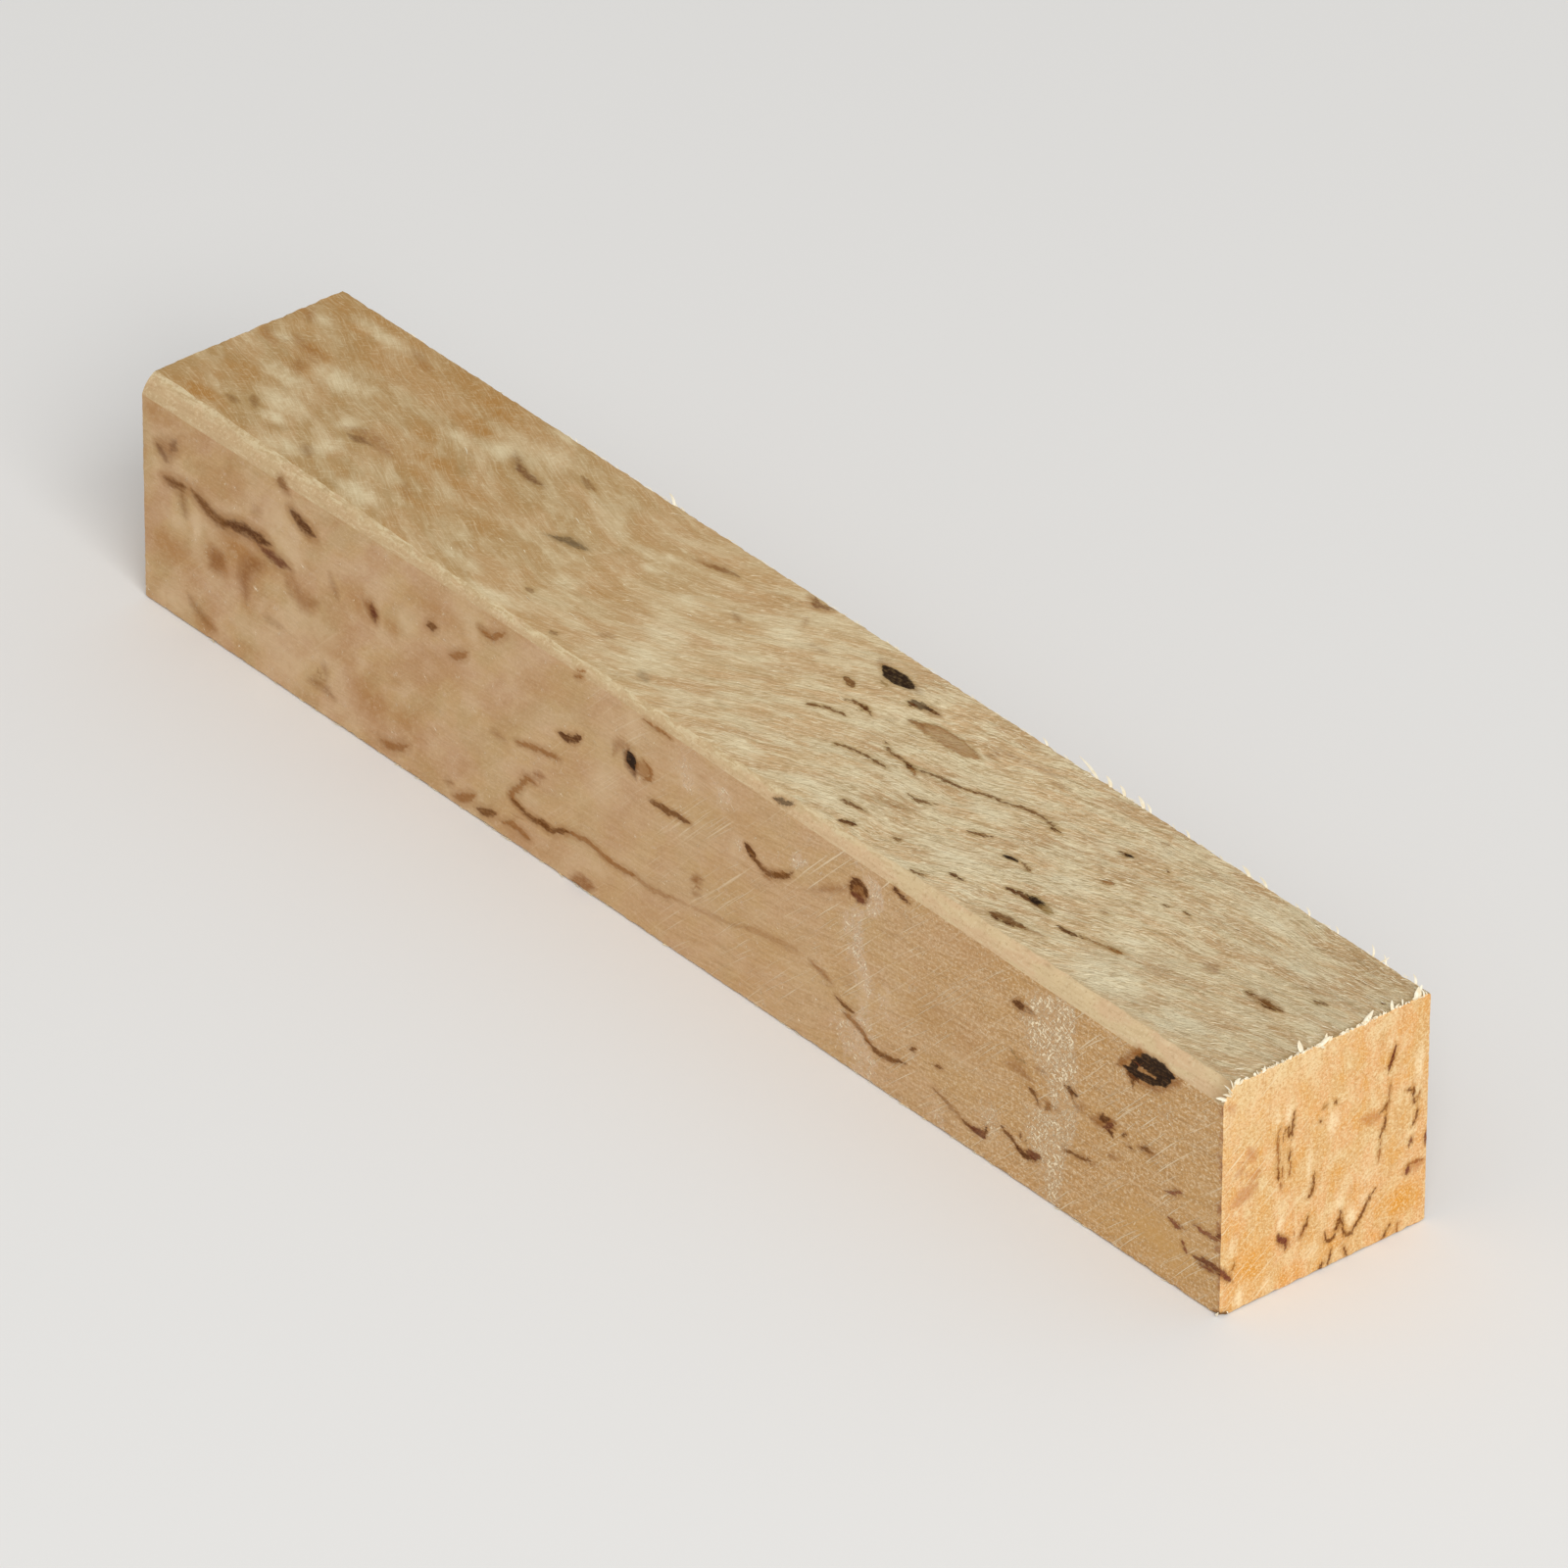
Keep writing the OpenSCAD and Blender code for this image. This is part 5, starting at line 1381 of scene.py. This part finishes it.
def makeEndFinish(plan):
    # sawn end grain: orange, its ground painted lighter than the sides to stand in for the light on the end; fine
    # pores, faint rays from top to bottom
    material, tree, shader = startFinish("sawnEndGrain")
    place = attribute(tree, "place").outputs["Vector"]
    patch = put(tree, "ShaderNodeSeparateXYZ")
    plug(tree, patch.inputs[0], attribute(tree, "patches").outputs["Vector"])
    flow = wander(tree, place, 0.8, 0.2)
    broad = clouds(tree, stretched(tree, flow, 2.6, 4.2), 1.0, 3.0, 0.55)
    smoke = clouds(tree, stretched(tree, flow, 1.6, 2.4, 0.0, 5.0), 1.0, 3.0, 0.6)
    rays = clouds(tree, stretched(tree, flow, 0.35, 4.5, 2.0), 1.0, 3.0, 0.65)
    saw = clouds(tree, stretched(tree, place, 5.0, 0.18, 36.0), 1.0, 2.0, 0.5)
    grit = clouds(tree, place, 3.6, 2.0, 0.7)
    fine = clouds(tree, place, 7.0, 2.0, 0.6)
    colour = blend(tree, ease(tree, broad, 0.42, 0.58), plan["body"], plan["warm"])
    colour = blend(tree, ease(tree, smoke, 0.52, 0.64, 0.0, 0.45), colour, plan["amber"])
    colour = blend(tree, ease(tree, smoke, 0.48, 0.36, 0.0, 0.55), colour, plan["pale"])
    paler = put(tree, "ShaderNodeSeparateXYZ")
    plug(tree, paler.inputs[0], place)
    upLeft = calc(tree, "MULTIPLY_ADD", paler.outputs[0], 0.5, paler.outputs[1])
    colour = blend(tree, ease(tree, upLeft, 10.0, 1.0, 0.0, 0.5), colour, plan["pale"])
    colour = blend(tree, ease(tree, rays, 0.53, 0.66, 0.0, 0.3), colour, plan["shade"])
    colour = blend(tree, ease(tree, rays, 0.46, 0.34, 0.0, 0.35), colour, plan["pale"])
    amber = calc(tree, "MULTIPLY", patch.outputs[0], ease(tree, smoke, 0.38, 0.6, 0.75, 1.0))
    colour = blend(tree, amber, colour, plan["amber"])
    colour = blend(tree, ease(tree, grit, 0.52, 0.63, 0.0, 0.6), colour, plan["pale"])
    colour = blend(tree, ease(tree, grit, 0.47, 0.35, 0.0, 0.5), colour, plan["shade"])
    colour = blend(tree, ease(tree, fine, 0.55, 0.66, 0.0, 0.6), colour, plan["pale"])
    colour = blend(tree, ease(tree, fine, 0.45, 0.34, 0.0, 0.5), colour, plan["shade"])
    leftward = ease(tree, paler.outputs[0], 6.5, 3.0, 0.42, 0.95)
    colour = blend(tree, calc(tree, "MULTIPLY", ease(tree, saw, 0.59, 0.69), leftward), colour, plan["scratch"])
    pale = calc(tree, "MULTIPLY", patch.outputs[1], ease(tree, grit, 0.36, 0.52, 0.5, 1.0))
    colour = blend(tree, pale, colour, plan["streak"])
    rag = clouds(tree, stretched(tree, place, 0.2, 0.5), 1.0, 3.0, 0.7)
    colour, bite = inkMarks(tree, colour, place, rag, endInkRamp, plan["halo"], 1.0)
    plug(tree, shader.inputs["Base Color"], colour)
    plug(tree, shader.inputs["Roughness"], ease(tree, grit, 0.3, 0.7, plan["roughness"] - 0.08, plan["roughness"] + 0.1))
    shader.inputs["Specular IOR Level"].default_value = 0.14
    height = calc(tree, "MULTIPLY_ADD", grit, 0.8, calc(tree, "MULTIPLY", saw, 0.4))
    height = calc(tree, "MULTIPLY_ADD", fine, 0.4, height)
    height = calc(tree, "MULTIPLY_ADD", bite, -0.5, height)
    raise_(tree, shader, height, plan["relief"])
    return material


def makeWornFinish(plan):
    # the rubbed edge: light tan, nearly smooth, dotted with open pores
    material, tree, shader = startFinish("wornEdgeWood")
    place = attribute(tree, "place").outputs["Vector"]
    where = put(tree, "ShaderNodeSeparateXYZ")
    plug(tree, where.inputs[0], place)
    broad = clouds(tree, stretched(tree, place, 5.0, 1.4), 1.0, 3.0, 0.55)
    streak = clouds(tree, stretched(tree, place, 2.2, 0.3, 2.0), 1.0, 4.0, 0.65)
    dots = clouds(tree, stretched(tree, place, 0.34, 0.22), 1.0, 2.0, 0.65)
    duller = ease(tree, where.outputs[0], 88.0, 60.0, 0.0, 0.75)
    colour = blend(tree, ease(tree, broad, 0.42, 0.58), plan["body"], plan["warm"])
    colour = blend(tree, duller, colour, plan["dull"])
    # away from the near end the woolly top runs over into it
    blotch = clouds(tree, stretched(tree, place, 3.4, 1.1, -10.0, 6.0), 1.0, 3.0, 0.6)
    upper = calc(tree, "MULTIPLY_ADD", blotch, 3.0, calc(tree, "MULTIPLY_ADD", where.outputs[1], -1.6, -0.6))
    overrun = calc(tree, "MULTIPLY", ease(tree, upper, 0.0, 0.7), ease(tree, where.outputs[0], 102.0, 84.0, 0.0, 0.85))
    wool = blend(tree, ease(tree, streak, 0.4, 0.6, 0.2, 0.9), topFinish["far"], topFinish["pale"])
    colour = blend(tree, overrun, colour, wool)
    colour = blend(tree, calc(tree, "MULTIPLY", duller, ease(tree, blotch, 0.54, 0.64, 0.0, 0.45)), colour, plan["pink"])
    colour = blend(tree, ease(tree, streak, 0.52, 0.66, 0.0, 0.28), colour, plan["shade"])
    colour = blend(tree, ease(tree, streak, 0.47, 0.34, 0.0, 0.4), colour, plan["pale"])
    colour = blend(tree, ease(tree, dots, 0.57, 0.66, 0.0, 0.42), colour, plan["shade"])
    colour = blend(tree, ease(tree, dots, 0.44, 0.34, 0.0, 0.45), colour, plan["pale"])
    # painted shade where the worn edge meets the near end, under the torn fibres
    rim = calc(tree, "MULTIPLY_ADD", broad, 2.0, where.outputs[0])
    colour = blend(tree, ease(tree, rim, stickLength - 1.2, stickLength + 0.6, 0.0, 0.65), colour, plan["shade"])
    rag = clouds(tree, stretched(tree, place, 0.55, 0.28), 1.0, 3.0, 0.7)
    colour, bite = inkMarks(tree, colour, place, rag, inkRamp, leftFinish["halo"], 1.0)
    plug(tree, shader.inputs["Base Color"], colour)
    plug(tree, shader.inputs["Roughness"], ease(tree, streak, 0.3, 0.7, plan["roughness"] - 0.08, plan["roughness"] + 0.1))
    shader.inputs["Specular IOR Level"].default_value = 0.16
    height = calc(tree, "MULTIPLY_ADD", dots, -0.6, calc(tree, "MULTIPLY", streak, 0.5))
    raise_(tree, shader, height, plan["relief"])
    return material


def makeFibreFinish(plan):
    material, tree, shader = startFinish("tornFibre")
    spot = put(tree, "ShaderNodeTexCoord").outputs["Object"]
    tone = clouds(tree, spot, 1800.0, 2.0, 0.6)
    colour = blend(tree, ease(tree, tone, 0.35, 0.65), plan["body"], plan["root"])
    # those that lie on the top, away from the near end, keep the top's own tone
    at = put(tree, "ShaderNodeSeparateXYZ")
    plug(tree, at.inputs[0], spot)
    inland = calc(tree, "MULTIPLY", ease(tree, at.outputs[0], 64.0 * mm, 62.5 * mm), ease(tree, at.outputs[1], 9.8 * mm, 9.2 * mm))
    colour = blend(tree, calc(tree, "MULTIPLY", inland, 0.6), colour, topFinish["pale"])
    plug(tree, shader.inputs["Base Color"], colour)
    plug(tree, shader.inputs["Roughness"], ease(tree, tone, 0.2, 0.8, plan["roughness"] - 0.1, plan["roughness"] + 0.1))
    shader.inputs["Specular IOR Level"].default_value = 0.3
    return material


def assemble(stick, fibres):
    vertices, quads, faceOfQuad, fans = stick
    fibrePoints, fibreFaces = fibres
    offset = len(vertices)
    points = np.vstack([vertices, np.array([tuple(p) for p in fibrePoints])]) * mm
    faces = quads.tolist() + [list(f) for f, _ in fans] + [[i + offset for i in f] for f in fibreFaces]
    mesh = bpy.data.meshes.new("birchStick")
    mesh.from_pydata(points.tolist(), [], faces)
    blankPiece = bpy.data.objects.new("birchStick", mesh)
    bpy.context.collection.objects.link(blankPiece)

    finishOf = {"left": 0, "right": 0, "top": 1, "bottom": 1, "near": 2, "far": 2, "worn": 3}
    for material in (makeLeftFinish(leftFinish), makeTopFinish(topFinish), makeEndFinish(endToneWithPaintedLight),
                     makeWornFinish(wornFinish), makeFibreFinish(fibreFinish)):
        mesh.materials.append(material)
    fanFaces = np.array([k for _, k in fans])
    faceKinds = np.concatenate([faceOfQuad, fanFaces])
    slots = np.array([finishOf[faceOrder[k]] for k in range(len(faceOrder))])
    materialIndex = np.concatenate([slots[faceKinds], np.full(len(fibreFaces), 4)])
    mesh.polygons.foreach_set("material_index", materialIndex.astype(np.int32))

    # every corner of every face carries its place and its figure
    sizes = np.array([len(f) for f in faces])
    corners = np.empty(len(mesh.loops), dtype=np.int32)
    mesh.loops.foreach_get("vertex_index", corners)
    cornerFace = np.repeat(np.concatenate([faceKinds, np.full(len(fibreFaces), -1)]), sizes)
    spots = np.empty(len(mesh.vertices) * 3, dtype=np.float32)
    mesh.vertices.foreach_get("co", spots)
    spots = spots.reshape(-1, 3)[corners] / mm
    place = np.zeros((len(corners), 3), dtype=np.float32)
    flow = np.zeros((len(corners), 3), dtype=np.float32)
    patches = np.zeros((len(corners), 3), dtype=np.float32)
    wornGap = np.full(len(corners), 9.0, dtype=np.float32)
    marks = [np.zeros((len(corners), 4), dtype=np.float32) for _ in range(figurePlan["layers"])]
    for values in marks:
        values[:, 1] = figurePlan["nothing"]
    for k, face in enumerate(faceOrder):
        mine = np.flatnonzero(cornerFace == k)
        u, v = facePlace(face, spots[mine])
        place[mine] = np.column_stack([u, v, np.full(len(mine), 37.0 * k)])
        painted, patch = paintFigure(face, u, v, figurePlan)
        flow[mine] = np.column_stack([u, v if face in ("near", "far") else flowOf(face, u, v), place[mine][:, 2]])
        for values, new in zip(marks, painted):
            values[mine] = new
        patches[mine] = patch
        if face == "top":
            inner = wornReach(u, stickPlan["wornIn"], stickPlan)
            wornGap[mine] = stickWidth - v - inner
    for name, values in (("place", place), ("flow", flow), ("patches", patches)):
        mesh.attributes.new(name, "FLOAT_VECTOR", "CORNER").data.foreach_set("vector", values.ravel())
    mesh.attributes.new("wornGap", "FLOAT", "CORNER").data.foreach_set("value", wornGap)
    for k, values in enumerate(marks):
        mesh.attributes.new(f"marks{k}", "FLOAT_COLOR", "CORNER").data.foreach_set("color", values.ravel())
    mesh.polygons.foreach_set("use_smooth", [True] * len(mesh.polygons))
    mesh.set_sharp_from_angle(angle=math.radians(32))
    # the worn edge starts at a crisp line on the left face
    ringSize = sum([4 * stickPlan["faceSteps"], stickPlan["wornSteps"], 3 * stickPlan["arrisSteps"]])
    skinPoints = ringSize * (int(round(stickLength / stickPlan["stationStep"])) + 1)
    edgeEnds = np.empty(len(mesh.edges) * 2, dtype=np.int32)
    mesh.edges.foreach_get("vertices", edgeEnds)
    edgeEnds = edgeEnds.reshape(-1, 2)
    onLine = np.all((edgeEnds % ringSize == stickPlan["faceSteps"]) & (edgeEnds < skinPoints), axis=1)
    sharp = np.empty(len(mesh.edges), dtype=bool)
    mesh.edges.foreach_get("use_edge_sharp", sharp)
    mesh.edges.foreach_set("use_edge_sharp", sharp | onLine)
    mesh.update()
    return blankPiece


stickShape = buildStick(stickPlan)
print("stick skin:", len(stickShape[0]), "points")
fibreShape = buildFibres(fuzzPlan)
print("torn fibres:", len(fibreShape[1]), "faces")
blankPiece = assemble(stickShape, fibreShape)
triangles = sum(len(p.vertices) - 2 for p in blankPiece.data.polygons)
print("birchStick:", triangles, "triangles")

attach(blankPiece, "root")
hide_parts("blank")
